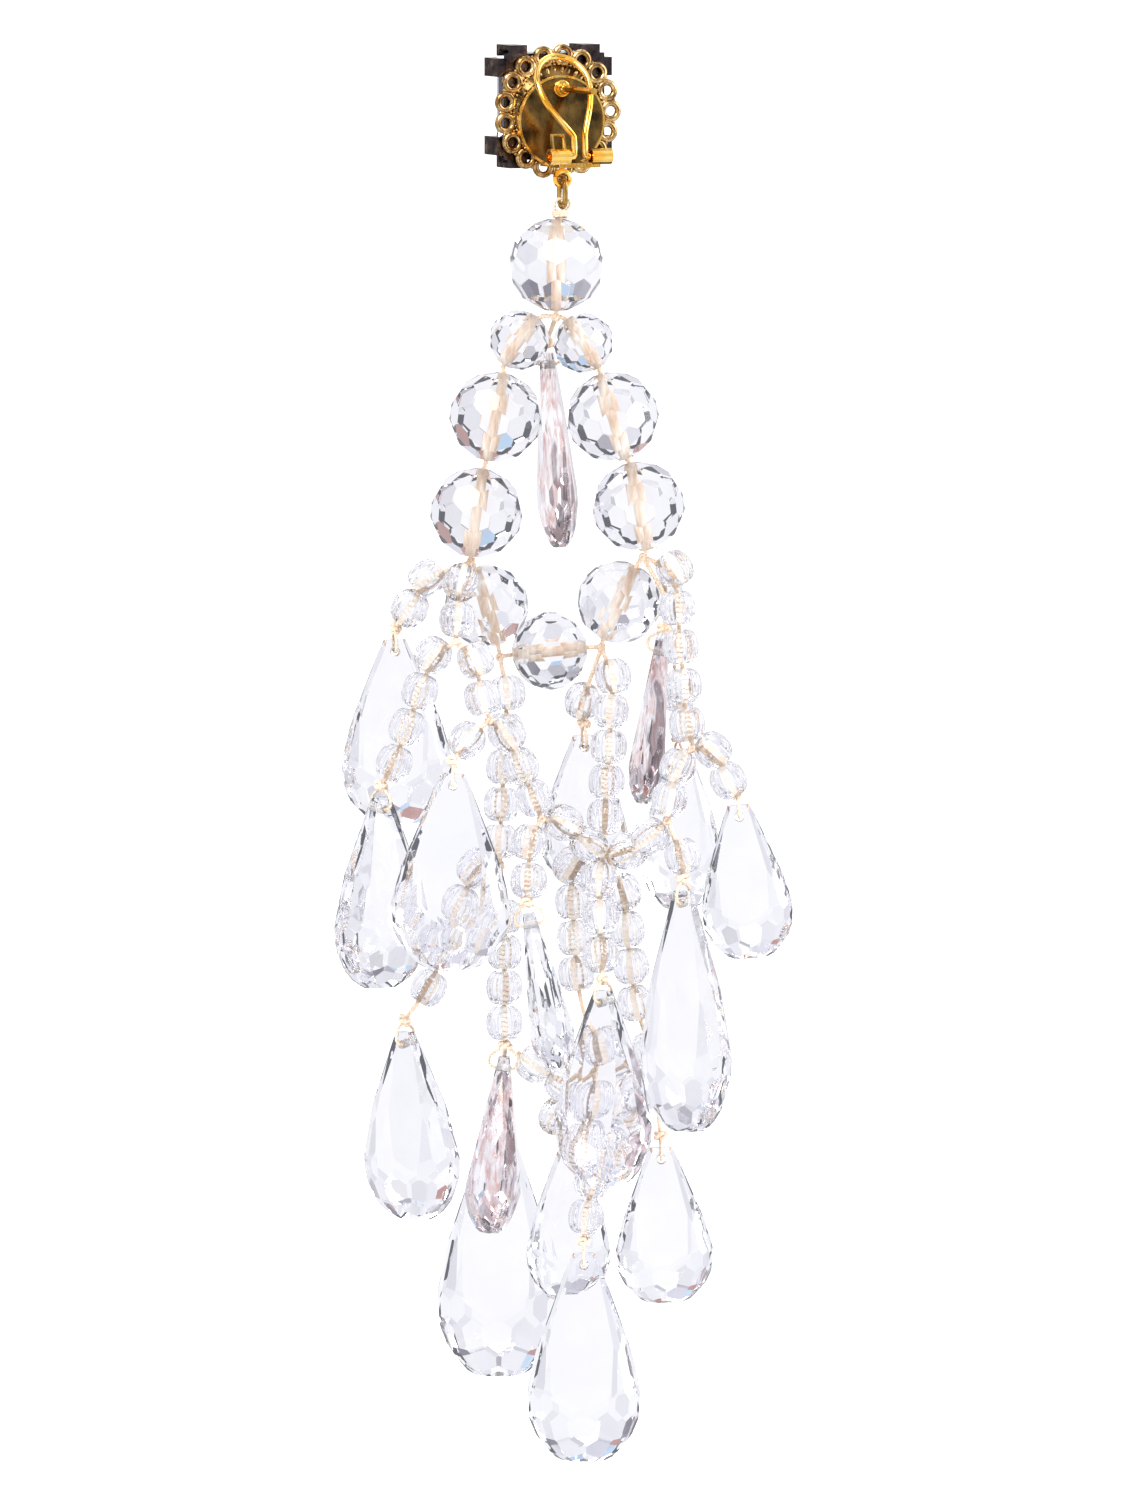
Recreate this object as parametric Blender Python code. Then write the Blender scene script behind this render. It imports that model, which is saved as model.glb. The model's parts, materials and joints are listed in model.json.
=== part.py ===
"""Chandelier clip earring: a square stone in a dark cup, a filigree back with an omega clip, and a hanging
net of clear beads and teardrops. Metres, +Z up. The origin is the middle of the ear lobe, on the post.
The clip side faces -Y and the stone faces +Y."""

import math
from collections import namedtuple

import bmesh
import bpy
from mathutils import Matrix, Vector

MM = 0.001
GAP = 0.0003

# Head
LOBE_GAP = 0.004
PLATE_RADIUS = 0.006
PLATE_THICKNESS = 0.0008
PLATE_DROP = 0.0043
RIM_WIDTH = 0.00025
RIM_HEIGHT = 0.0002
POST_RADIUS = 0.00045
POST_LENGTH = 0.0112
BOSS_RADIUS = 0.0009
BOSS_LENGTH = 0.0007
FILIGREE_RADIUS = 0.0089
FILIGREE_THICKNESS = 0.0008
FILIGREE_RISE = 0.0012
SCALLOPS = 17
SCALLOP_OVERLAP = 1.09
SCALLOP_HOLE = 0.0007
INNER_HOLE = 0.00042
INNER_HOLE_INSET = 0.0016
STONE_WIDTH = 0.0142
STONE_HEIGHT = 0.0044
STONE_CORNER = 0.0026
STONE_GIRDLE = 0.42
CUP_RISE = 0.0019
CUP_THICKNESS = 0.0008
CUP_INSET = 0.0002
PRONG_WIDTH = 0.0024
PRONG_THICKNESS = 0.0006
PRONG_SPACING = 0.0102
PRONG_FOOT = 0.0006
PRONG_INSET = 0.0001
PRONG_REACH = 0.0019
PRONG_LIP = 0.0009

# Omega clip
WIRE_RADIUS = 0.00042
LEG_HALF_SPACING = 0.00075
LOOP_HALF_WIDTH = 0.0036
HINGE_BACK = 0.0063
HINGE_DROP = 0.0043
LOOP_LENGTH = 0.0128
LOOP_TOP_BACK = 0.0010
LOOP_SHIFT = 0.0012
BARREL_RADIUS = 0.00105
BARREL_BORE = 0.00074
BARREL_LENGTH = 0.0028
BARREL_START = 0.0015
SHELF_THICKNESS = 0.0006
SHELF_WIDTH = 0.0058
STRAP_WIRE = 0.00028
STRAP_HEIGHT = 0.0028
STRAP_LEAN = 0.0006
STRAP_INSET = 0.0006
SOLDER = 0.0002

# Eye, link and thread
EYE_RADIUS = 0.0010
EYE_WIRE = 0.00038
EYE_DROP = 0.0074
EYE_BACK = 0.0003
LINK_RADIUS = 0.0010
LINK_WIRE = 0.00036
LINK_STRAIGHT = 0.0017
LINK_TO_KNOT = 0.00125
THREAD_RADIUS = 0.00035
LOOP_THREAD = 0.00025
KNOT_RADIUS = 0.0005
KNOT_LENGTH = 0.0010
START_CLEAR = 0.0011
BEAD_CLEAR = 0.00015
BEND_CLEAR = 0.00045
TOP_LOOP_HALF = 0.0011

# Beads and drops
TOP_BEAD = 0.0122
BIG_BEAD = 0.0118
HEM_BEAD = 0.0108
BOTTOM_BEAD = 0.0100
TOP_PAIR_BEAD = 0.0078
BEAD_HOLE = 0.00066
STRING_BEAD = 0.0047
STRING_BEAD_LENGTH = 0.0042
DROP_HOLE = 0.0006
DROP_HOLE_DOWN = 0.0016
DROP_TOP_HALF_WIDTH = 0.0013
DROP_TOP_HALF_THICKNESS = 0.0011
DROP_BELLY = 0.68
KNOT_RISE = 0.0015

# The net hangs in a plane turned from the clip's own plane
NET_TURN = math.radians(-22)

PLATE_BACK = LOBE_GAP / 2
FILIGREE_BACK = PLATE_BACK + PLATE_THICKNESS + GAP
CUP_BACK = FILIGREE_BACK + FILIGREE_THICKNESS + GAP
STONE_BACK = CUP_BACK + CUP_THICKNESS + GAP
HINGE_Y = PLATE_BACK - HINGE_BACK
HINGE_Z = -PLATE_DROP - HINGE_DROP
EYE_Y = PLATE_BACK - EYE_BACK
EYE_Z = -PLATE_DROP - EYE_DROP
PIVOT = Vector((0, EYE_Y, EYE_Z - EYE_RADIUS))

# Measures of the net in millimetres from the pivot: across to the right, down, and toward the clip side
KNOTS = {
    "split": (-0.9, 17.1, 0.0),
    "left_shoulder": (-11.9, 49.0, -0.6),
    "right_shoulder": (10.5, 48.4, -0.7),
    "left_hem": (-8.2, 61.8, -4.4),
    "right_hem": (5.1, 60.5, -4.4),
    "left_fork": (-13.7, 58.9, 8.2),
    "inner_fork": (-9.5, 69.0, 9.0),
    "lower_fork": (-2.7, 81.9, 7.4),
    "centre_fork": (5.5, 86.6, 1.5),
    "right_fork": (16.9, 73.1, 3.0),
    "right_low_fork": (13.6, 82.4, 4.8),
    "side_fork": (-8.1, 88.8, -0.4),
    "swag_fork": (5.1, 117.2, -1.4),
    "back_fork": (2.8, 118.6, -1.2),
}

# Lean is the hole's angle from vertical, its lower end to the right. Tip is how far that end comes forward
Bead = namedtuple("Bead", "diameter across down toward lean tip")
BIG_BEADS = {
    "bead_top": Bead(TOP_BEAD, -0.8, 10.2, 0.0, 0, 0),
    "bead_left_1": Bead(TOP_PAIR_BEAD, -5.6, 20.0, 0.0, -35.5, 0),
    "bead_left_2": Bead(BIG_BEAD, -8.7, 30.0, 0.0, -11.7, 0),
    "bead_left_3": Bead(BIG_BEAD, -11.2, 42.5, 0.0, -8.9, 0),
    "bead_left_4": Bead(HEM_BEAD, -9.9, 54.9, -2.4, 16, -16),
    "bead_right_1": Bead(TOP_PAIR_BEAD, 2.7, 20.4, 0.0, 33, 0),
    "bead_right_2": Bead(BIG_BEAD, 6.5, 30.0, 0.0, 17, 0),
    "bead_right_3": Bead(BIG_BEAD, 9.9, 41.7, 0.0, 11, 0),
    "bead_right_4": Bead(HEM_BEAD, 7.4, 54.4, -2.4, -24, -16),
    "bead_bottom": Bead(BOTTOM_BEAD, -1.7, 61.1, -6.1, 95.6, 0),
}

# Turn is about the drop's length, 0 with its face to the clip side; lean moves its tip across
Drop = namedtuple("Drop", "across top toward length width thickness turn lean")
DROPS = {
    "drop_middle": Drop(-2.0, 22.0, -5.4, 25.8, 9.5, 5.4, 85, 4),
    "drop_left_upper": Drop(-21.9, 59.2, -1.5, 24.5, 14.4, 7.2, 8, 1),
    "drop_left_middle": Drop(-23.6, 79.3, 5.2, 25.2, 14.4, 7.2, 40, 0),
    "drop_front_left": Drop(-14.2, 75.6, 11.6, 25.9, 15.2, 7.4, 0, -1),
    "drop_slender": Drop(-4.4, 94.0, 10.4, 21.0, 13.6, 6.0, 90, 11),
    "drop_inner_left": Drop(-7.6, 113.7, 1.0, 23.4, 14.2, 7.4, 88, -5),
    "drop_front_lower": Drop(-20.6, 110.8, -2.4, 25.0, 14.4, 7.2, -36, 3),
    "drop_back_left": Drop(-8.4, 124.2, -11.6, 33.6, 16.0, 8.4, 0, 0),
    "drop_back_low": Drop(0.8, 126.8, -6.3, 20.0, 11.0, 5.6, 12, 0),
    "drop_centre": Drop(5.3, 104.3, 7.7, 25.9, 14.4, 7.2, -36, 0),
    "drop_lowest": Drop(2.8, 139.6, 0.4, 27.8, 14.7, 7.6, 0, 0),
    "drop_back_right": Drop(12.9, 126.4, -6.0, 20.8, 12.6, 5.8, 0, 2),
    "drop_right_outer": Drop(22.9, 80.6, 1.6, 20.4, 11.8, 5.6, 0, 5),
    "drop_right_long": Drop(15.7, 91.4, 6.4, 31.9, 12.6, 7.0, -28, 1),
    "drop_back_outer": Drop(15.2, 74.2, -8.6, 21.4, 10.8, 5.6, 14, 2),
    "drop_back_hem": Drop(2.8, 72.3, -8.2, 19.8, 11.6, 5.6, 10, 0),
    "drop_right_middle": Drop(13.0, 59.3, -1.4, 21.8, 9.4, 4.9, 90, -7),
}

# A run is a row of small beads, evenly spaced from its first to its last
Run = namedtuple("Run", "beads first last")
STRINGS = {
    "string_middle": ["split", (-1.5, 18.9, -3.6), "drop_middle"],
    "string_left_outer": [
        "left_shoulder",
        Run(2, (-17.6, 50.9, 2.4), (-19.9, 55.0, 0.6)),
        "drop_left_upper",
    ],
    "string_left_front": [
        "left_shoulder",
        Run(2, (-13.2, 51.2, 6.2), (-13.7, 55.9, 7.4)),
        "left_fork",
        Run(4, (-16.8, 60.6, 7.0), (-21.9, 74.8, 5.4)),
        "drop_left_middle",
    ],
    "string_left_inner": [
        "left_fork",
        Run(2, (-11.3, 61.1, 8.6), (-10.4, 66.0, 8.9)),
        "inner_fork",
        Run(3, (-7.2, 70.8, 8.6), (-3.7, 79.2, 7.4)),
        "lower_fork",
        Run(2, (-4.3, 84.9, 8.4), (-4.4, 89.8, 9.5)),
        "drop_slender",
    ],
    "string_front_left": [
        "inner_fork",
        Run(1, (-12.4, 71.4, 10.3), None),
        "drop_front_left",
    ],
    "string_centre_left": [
        "lower_fork",
        Run(2, (0.2, 82.6, 6.0), (3.4, 85.6, 3.6)),
        "centre_fork",
    ],
    "string_inner_left": [
        "left_hem",
        Run(5, (-7.2, 66.4, -3.2), (-8.2, 85.6, -0.4)),
        "side_fork",
        Run(4, (-7.6, 95.4, 0.2), (-7.6, 109.3, 0.8)),
        "drop_inner_left",
    ],
    "string_front_lower": [
        "side_fork",
        Run(4, (-11.4, 90.8, -1.0), (-17.5, 105.0, -2.2)),
        "drop_front_lower",
    ],
    "string_back_left": ["drop_inner_left", (-7.8, 116.0, -7.0), "drop_back_left"],
    "string_swag": [
        (-5.9, 113.3, -0.7),
        Run(2, (-3.7, 114.9, -0.4), (0.1, 117.5, -0.8)),
        "back_fork",
        "swag_fork",
    ],
    "string_back_low": [
        "back_fork",
        Run(1, (-0.8, 122.2, -4.6), None),
        "drop_back_low",
    ],
    "string_centre": [
        "right_hem",
        Run(5, (6.6, 64.2, -3.2), (5.5, 82.4, -0.6)),
        "centre_fork",
        Run(3, (4.8, 90.4, 3.0), (5.0, 99.8, 5.8)),
        "drop_centre",
    ],
    "string_back_centre": [
        "centre_fork",
        Run(4, (1.1, 88.9, -1.4), (1.8, 103.1, -2.0)),
        (2.8, 109.0, -1.6),
        Run(1, (5.8, 113.8, -1.0), None),
        "swag_fork",
        Run(4, (5.5, 120.6, -0.9), (3.1, 134.9, 0.1)),
        "drop_lowest",
    ],
    "string_back_right": [
        "centre_fork",
        Run(4, (7.9, 92.4, -1.8), (9.5, 107.2, -4.2)),
        Run(2, (11.5, 113.4, -5.4), (12.3, 119.0, -5.8)),
        "drop_back_right",
    ],
    "string_right_outer": [
        "right_shoulder",
        Run(5, (14.6, 49.8, 1.6), (16.2, 70.0, 2.6)),
        "right_fork",
        Run(2, (19.6, 73.4, 2.6), (21.6, 77.4, 2.0)),
        "drop_right_outer",
    ],
    "string_right_inner": [
        "right_fork",
        Run(2, (15.0, 75.4, 4.4), (13.9, 79.6, 5.0)),
        "right_low_fork",
        Run(1, (15.6, 87.0, 5.4), None),
        "drop_right_long",
    ],
    "string_centre_right": [
        "right_low_fork",
        Run(2, (11.4, 84.4, 5.8), (8.6, 86.6, 3.1)),
        "centre_fork",
    ],
    "string_back_outer": [
        "right_shoulder",
        (12.8, 49.6, -4.0),
        Run(3, (13.6, 54.3, -8.4), (15.2, 67.0, -8.8)),
        "drop_back_outer",
    ],
    "string_back_hem": [
        "right_hem",
        Run(1, (2.6, 67.8, -7.8), None),
        "drop_back_hem",
    ],
    "string_right_middle": [
        "right_shoulder",
        (13.9, 54.3, -1.2),
        "drop_right_middle",
    ],
}

# Facet rows of a round bead: latitude in degrees, facets, turn as a share of one facet
BEAD_FACETS = ((54, 8, 0.0), (19, 10, 0.5), (-19, 10, 0.0), (-54, 8, 0.5))
# Facet rows of a drop: share of the length from the top, facets, turn as a share of one facet
DROP_FACETS = ((0.30, 8, 0.0), (0.63, 12, 0.5), (0.81, 10, 0.0), (0.93, 8, 0.5))


def clear_scene():
    for obj in list(bpy.data.objects):
        bpy.data.objects.remove(obj, do_unlink=True)


def make_collection(name):
    made = bpy.data.collections.new(name)
    bpy.context.scene.collection.children.link(made)
    return made


def make_material(name, colour, roughness, metallic=0.0, transmission=0.0):
    made = bpy.data.materials.new(name)
    made.use_nodes = True
    shader = made.node_tree.nodes["Principled BSDF"]
    shader.inputs["Base Color"].default_value = (*colour, 1.0)
    shader.inputs["Roughness"].default_value = roughness
    shader.inputs["Metallic"].default_value = metallic
    shader.inputs["Transmission Weight"].default_value = transmission
    made.diffuse_color = (*colour, 1.0)
    return made


def add_object(name, data, material, parent=None, cutter=False):
    made = bpy.data.objects.new(name, data)
    if material:
        data.materials.append(material)
    (CUTTERS if cutter else EARRING).objects.link(made)
    made.parent = parent
    if cutter:
        made.hide_render = True
        made.display_type = "WIRE"
    return made


def to_mesh(name, bm):
    bmesh.ops.recalc_face_normals(bm, faces=bm.faces)
    mesh = bpy.data.meshes.new(name)
    bm.to_mesh(mesh)
    bm.free()
    return mesh


def tube_curve(name, points, radii, resolution=3, closed=False):
    """A wire through the points, with its own radius at each."""
    curve = bpy.data.curves.new(name, "CURVE")
    curve.dimensions = "3D"
    curve.bevel_depth = THREAD_RADIUS
    curve.bevel_resolution = resolution
    curve.use_fill_caps = not closed
    spline = curve.splines.new("POLY")
    spline.points.add(len(points) - 1)
    for place, point, radius in zip(spline.points, points, radii):
        place.co = (*point, 1.0)
        place.radius = radius / THREAD_RADIUS
    spline.use_cyclic_u = closed
    return curve


def tube_mesh(name, points, radii, resolution=3, closed=False):
    """The same wire as a closed mesh, for joining to others."""
    helper = bpy.data.objects.new(name, tube_curve(name, points, radii, resolution, closed))
    CUTTERS.objects.link(helper)
    graph = bpy.context.evaluated_depsgraph_get()
    mesh = bpy.data.meshes.new_from_object(helper.evaluated_get(graph))
    bpy.data.objects.remove(helper, do_unlink=True)
    bm = bmesh.new()
    bm.from_mesh(mesh)
    bmesh.ops.remove_doubles(bm, verts=bm.verts, dist=1e-6)
    bmesh.ops.recalc_face_normals(bm, faces=bm.faces)
    bm.to_mesh(mesh)
    bm.free()
    return mesh


def box_mesh(name, low, high):
    bm = bmesh.new()
    bmesh.ops.create_cube(bm, size=1.0)
    size = Vector(high) - Vector(low)
    bmesh.ops.scale(bm, vec=size, verts=bm.verts)
    bmesh.ops.translate(bm, vec=(Vector(low) + Vector(high)) / 2, verts=bm.verts)
    return to_mesh(name, bm)


def rod_mesh(name, start, end, radius, sides):
    bm = bmesh.new()
    way = Vector(end) - Vector(start)
    turn = way.to_track_quat("Z", "Y").to_matrix().to_4x4()
    place = Matrix.Translation((Vector(start) + Vector(end)) / 2) @ turn
    bmesh.ops.create_cone(
        bm, cap_ends=True, segments=sides, radius1=radius, radius2=radius, depth=way.length, matrix=place
    )
    return to_mesh(name, bm)


def boolean(obj, mesh, operation, parent=None):
    helper = add_object(f"{obj.name}_{operation.lower()}_{len(obj.modifiers)}", mesh, None, parent, True)
    modifier = obj.modifiers.new(operation.title(), "BOOLEAN")
    modifier.operation = operation
    modifier.solver = "EXACT"
    modifier.object = helper
    return helper


def cut_gem(planes, reach):
    """A convex solid in millimetres: a block cut by each plane, given as an outward normal and a distance."""
    bm = bmesh.new()
    bmesh.ops.create_cube(bm, size=reach)
    for normal, distance in planes:
        everything = bm.verts[:] + bm.edges[:] + bm.faces[:]
        cut = bmesh.ops.bisect_plane(
            bm,
            geom=everything,
            plane_co=Vector(normal) * distance,
            plane_no=normal,
            clear_outer=True,
            dist=1e-5,
        )
        edges = [item for item in cut["geom_cut"] if isinstance(item, bmesh.types.BMEdge)]
        if edges:
            bmesh.ops.edgenet_fill(bm, edges=edges)
    bmesh.ops.remove_doubles(bm, verts=bm.verts, dist=0.01)
    bmesh.ops.scale(bm, vec=(MM, MM, MM), verts=bm.verts)
    return bm


def net_point(measure):
    """A point of the net in its own frame: across, down, toward, in millimetres."""
    across, down, toward = measure
    return Vector((across, -toward, -down)) * MM


def bead_mesh(name, diameter):
    """A faceted round bead along Z, drilled from end to end."""
    radius = diameter / 2 / MM
    planes = [(Vector((0, 0, side)), radius * 0.975) for side in (1, -1)]
    for latitude, facets, turn in BEAD_FACETS:
        for step in range(facets):
            angle = math.tau * (step + turn) / facets
            tilt = math.radians(latitude)
            level = math.cos(tilt)
            normal = Vector((math.cos(angle) * level, math.sin(angle) * level, math.sin(tilt)))
            planes.append((normal, radius * 0.965))
    return to_mesh(name, cut_gem(planes, radius * 3))


def drop_half(share, top, most):
    """Half the width or thickness of a drop at a share of its length from the top."""
    if share < DROP_BELLY:
        along = share / DROP_BELLY
        return top + (most - top) * along * (1.3 - 0.3 * along * along)
    fall = (share - DROP_BELLY) / (1 - DROP_BELLY)
    return most * math.sqrt(max(0.0, 1 - fall * fall))


def drop_surface(drop, share, angle):
    half_width = drop_half(share, DROP_TOP_HALF_WIDTH / MM, drop.width / 2)
    half_thickness = drop_half(share, DROP_TOP_HALF_THICKNESS / MM, drop.thickness / 2)
    return Vector((half_width * math.cos(angle), half_thickness * math.sin(angle), -share * drop.length))


def drop_mesh(name, drop):
    """A faceted teardrop hanging from its top at the origin, its face toward -Y."""
    planes = [(Vector((0, 0, 1)), 0.0), (Vector((0, 0, -1)), drop.length * 0.985)]
    small = 1e-4
    for share, facets, turn in DROP_FACETS:
        for step in range(facets):
            angle = math.tau * (step + turn) / facets
            here = drop_surface(drop, share, angle)
            around = drop_surface(drop, share, angle + small) - here
            along = drop_surface(drop, share + small, angle) - here
            normal = along.cross(around).normalized()
            if normal.dot(Vector((here.x, here.y, 0))) < 0:
                normal = -normal
            planes.append((normal, normal.dot(here)))
    return to_mesh(name, cut_gem(planes, drop.length * 3))


def drop_matrix(drop):
    """Places a drop in the net: its top point, its turn about its length and its lean."""
    top = net_point((drop.across, drop.top, drop.toward))
    lean = Matrix.Rotation(math.radians(-drop.lean), 4, "Y")
    turn = Matrix.Rotation(math.radians(drop.turn), 4, "Z")
    return Matrix.Translation(top) @ lean @ turn


def drop_knot(name):
    return drop_matrix(DROPS[name]) @ Vector((0, 0, KNOT_RISE))


def drop_loop(name):
    """The thread from a drop's knot through its hole and back, short of the knot."""
    drop = DROPS[name]
    share = DROP_HOLE_DOWN / MM / drop.length
    half = drop_half(share, DROP_TOP_HALF_THICKNESS / MM, drop.thickness / 2) * MM
    side = half + GAP + LOOP_THREAD
    hole = -DROP_HOLE_DOWN
    path = (
        (-side * 0.45, KNOT_RISE * 0.62),
        (-side, KNOT_RISE * 0.05),
        (-side, hole),
        (side, hole),
        (side, KNOT_RISE * 0.05),
        (side * 0.5, KNOT_RISE * 0.5),
    )
    place = drop_matrix(drop)
    return [place @ Vector((0, depth, height)) for depth, height in path]


def run_beads(run):
    first = net_point(run.first)
    if run.beads == 1:
        return [first]
    last = net_point(run.last)
    return [first.lerp(last, step / (run.beads - 1)) for step in range(run.beads)]


def bead_profile():
    """Steps along a small bead and the radius at each."""
    half = STRING_BEAD_LENGTH / 2
    return (
        (-half, THREAD_RADIUS),
        (-half * 0.5, STRING_BEAD / 2),
        (half * 0.5, STRING_BEAD / 2),
        (half, THREAD_RADIUS),
    )


def string_stops(route):
    """The stops of a string in order, each a kind and a point in the net's frame."""
    stops = []
    for place, item in enumerate(route):
        end = place in (0, len(route) - 1)
        if isinstance(item, Run):
            stops += [("bead", point) for point in run_beads(item)]
        elif isinstance(item, str) and item in KNOTS:
            stops.append(("clear" if end else "knot", net_point(KNOTS[item])))
        elif isinstance(item, str):
            stops.append(("clear" if place == 0 else "knot", drop_knot(item)))
        else:
            stops.append(("thread", net_point(item)))
    return stops


def string_path(route):
    """Points and radii of one string of beads: thread, beads, knots and the loop that holds its drop."""
    stops = string_stops(route)
    points = []
    radii = []
    for place, (kind, here) in enumerate(stops):
        before = stops[max(place - 1, 0)][1]
        after = stops[min(place + 1, len(stops) - 1)][1]
        way = (after - before).normalized()
        if kind == "bead":
            steps = bead_profile()
        elif kind == "knot":
            steps = ((-KNOT_LENGTH / 2, THREAD_RADIUS), (0, KNOT_RADIUS), (KNOT_LENGTH / 2, THREAD_RADIUS))
        elif kind == "clear":
            steps = ((START_CLEAR if place == 0 else -START_CLEAR, THREAD_RADIUS),)
        else:
            steps = ((0, THREAD_RADIUS),)
        for step, radius in steps:
            points.append(here + way * step)
            radii.append(radius)
    if route[-1] in DROPS:
        loop = drop_loop(route[-1])
        points = points[:-1] + loop
        radii = radii[:-1] + [LOOP_THREAD] * len(loop)
    return points, radii


def big_bead_places():
    """Each big bead's centre and the way of its hole, in the net's frame."""
    places = {}
    for name, bead in BIG_BEADS.items():
        lean = math.radians(bead.lean)
        tip = math.radians(bead.tip)
        way = Vector((math.sin(lean) * math.cos(tip), -math.sin(tip), -math.cos(lean) * math.cos(tip)))
        places[name] = (net_point((bead.across, bead.down, bead.toward)), way)
    return places


def through_bead(name, places, before=BEAD_CLEAR, after=BEAD_CLEAR):
    """Where a thread enters and leaves a big bead, just clear of it."""
    centre, way = places[name]
    half = BIG_BEADS[name].diameter / 2
    return [centre - way * (half + before), centre + way * (half + after)]


def main_threads(places):
    """The two threads of the bead ring. The left one starts in a loop through the link."""
    top = net_point((BIG_BEADS["bead_top"].across, 0, 0)) * 0.4
    knot = top - Vector((0, 0, LINK_STRAIGHT + LINK_RADIUS + LINK_TO_KNOT))
    loop_height = -(LINK_STRAIGHT - 0.0001)
    half = TOP_LOOP_HALF
    left = [
        (knot + Vector((half * 0.8, 0, 0.0008)), LOOP_THREAD),
        (Vector((half, 0, loop_height - 0.0008)), LOOP_THREAD),
        (Vector((half * 0.7, 0, loop_height)), LOOP_THREAD),
        (Vector((-half * 0.7, 0, loop_height)), LOOP_THREAD),
        (Vector((-half, 0, loop_height - 0.0008)), LOOP_THREAD),
        (knot + Vector((-half * 0.7, 0, 0.0007)), LOOP_THREAD),
        (knot, KNOT_RADIUS),
    ]
    left += [(point, THREAD_RADIUS) for point in through_bead("bead_top", places)]
    right = []
    split = net_point(KNOTS["split"])
    for side, path in (("left", left), ("right", right)):
        entry, leave = through_bead(f"bead_{side}_1", places, before=BEND_CLEAR)
        way = (entry - split).normalized()
        path.append((split, KNOT_RADIUS) if side == "left" else (split + way * START_CLEAR, THREAD_RADIUS))
        path += [(entry, THREAD_RADIUS), (leave, THREAD_RADIUS)]
        for number in (2, 3):
            path += [(point, THREAD_RADIUS) for point in through_bead(f"bead_{side}_{number}", places)]
        path.append((net_point(KNOTS[f"{side}_shoulder"]), KNOT_RADIUS))
        path += [(point, THREAD_RADIUS) for point in through_bead(f"bead_{side}_4", places)]
        path.append((net_point(KNOTS[f"{side}_hem"]), KNOT_RADIUS))
    bottom = through_bead("bead_bottom", places, before=BEND_CLEAR, after=BEND_CLEAR)
    left += [(point, THREAD_RADIUS) for point in bottom]
    end = net_point(KNOTS["right_hem"])
    way = (end - left[-1][0]).normalized()
    left.append((end - way * START_CLEAR, THREAD_RADIUS))
    below = net_point(KNOTS["right_hem"]) - Vector((0, 0, KNOT_LENGTH / 2))
    right.append((below, THREAD_RADIUS))
    return {"main_thread_left": left, "main_thread_right": right}


def build_net(frame):
    places = big_bead_places()
    for name, (centre, way) in places.items():
        bead = add_object(name, bead_mesh(name, BIG_BEADS[name].diameter), CRYSTAL, frame)
        bead.matrix_local = Matrix.Translation(centre) @ way.to_track_quat("Z", "Y").to_matrix().to_4x4()
        reach = BIG_BEADS[name].diameter
        hole = rod_mesh(f"{name}_hole", (0, 0, -reach), (0, 0, reach), BEAD_HOLE, 8)
        boolean(bead, hole, "DIFFERENCE", bead)
    for name, path in main_threads(places).items():
        curve = tube_curve(name, [point for point, _ in path], [radius for _, radius in path])
        add_object(name, curve, THREAD, frame)
    for name, drop in DROPS.items():
        made = add_object(name, drop_mesh(name, drop), CRYSTAL, frame)
        made.matrix_local = drop_matrix(drop)
        reach = drop.thickness * MM
        ends = ((0, -reach, -DROP_HOLE_DOWN), (0, reach, -DROP_HOLE_DOWN))
        hole = rod_mesh(f"{name}_hole", *ends, DROP_HOLE, 6)
        boolean(made, hole, "DIFFERENCE", made)
    for name, route in STRINGS.items():
        points, radii = string_path(route)
        add_object(name, tube_curve(name, points, radii), CRYSTAL, frame)


def build_link():
    """A long link in the YZ plane. It hangs on the eye's lowest point."""
    points = []
    for centre, start in ((0.0, 0.0), (-LINK_STRAIGHT, math.pi)):
        for step in range(7):
            angle = start + math.pi * step / 6
            points.append(Vector((0, LINK_RADIUS * math.cos(angle), centre + LINK_RADIUS * math.sin(angle))))
    curve = tube_curve("drop_link", points, [LINK_WIRE] * len(points), resolution=1, closed=True)
    made = add_object("drop_link", curve, GOLD)
    made.location = PIVOT


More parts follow.
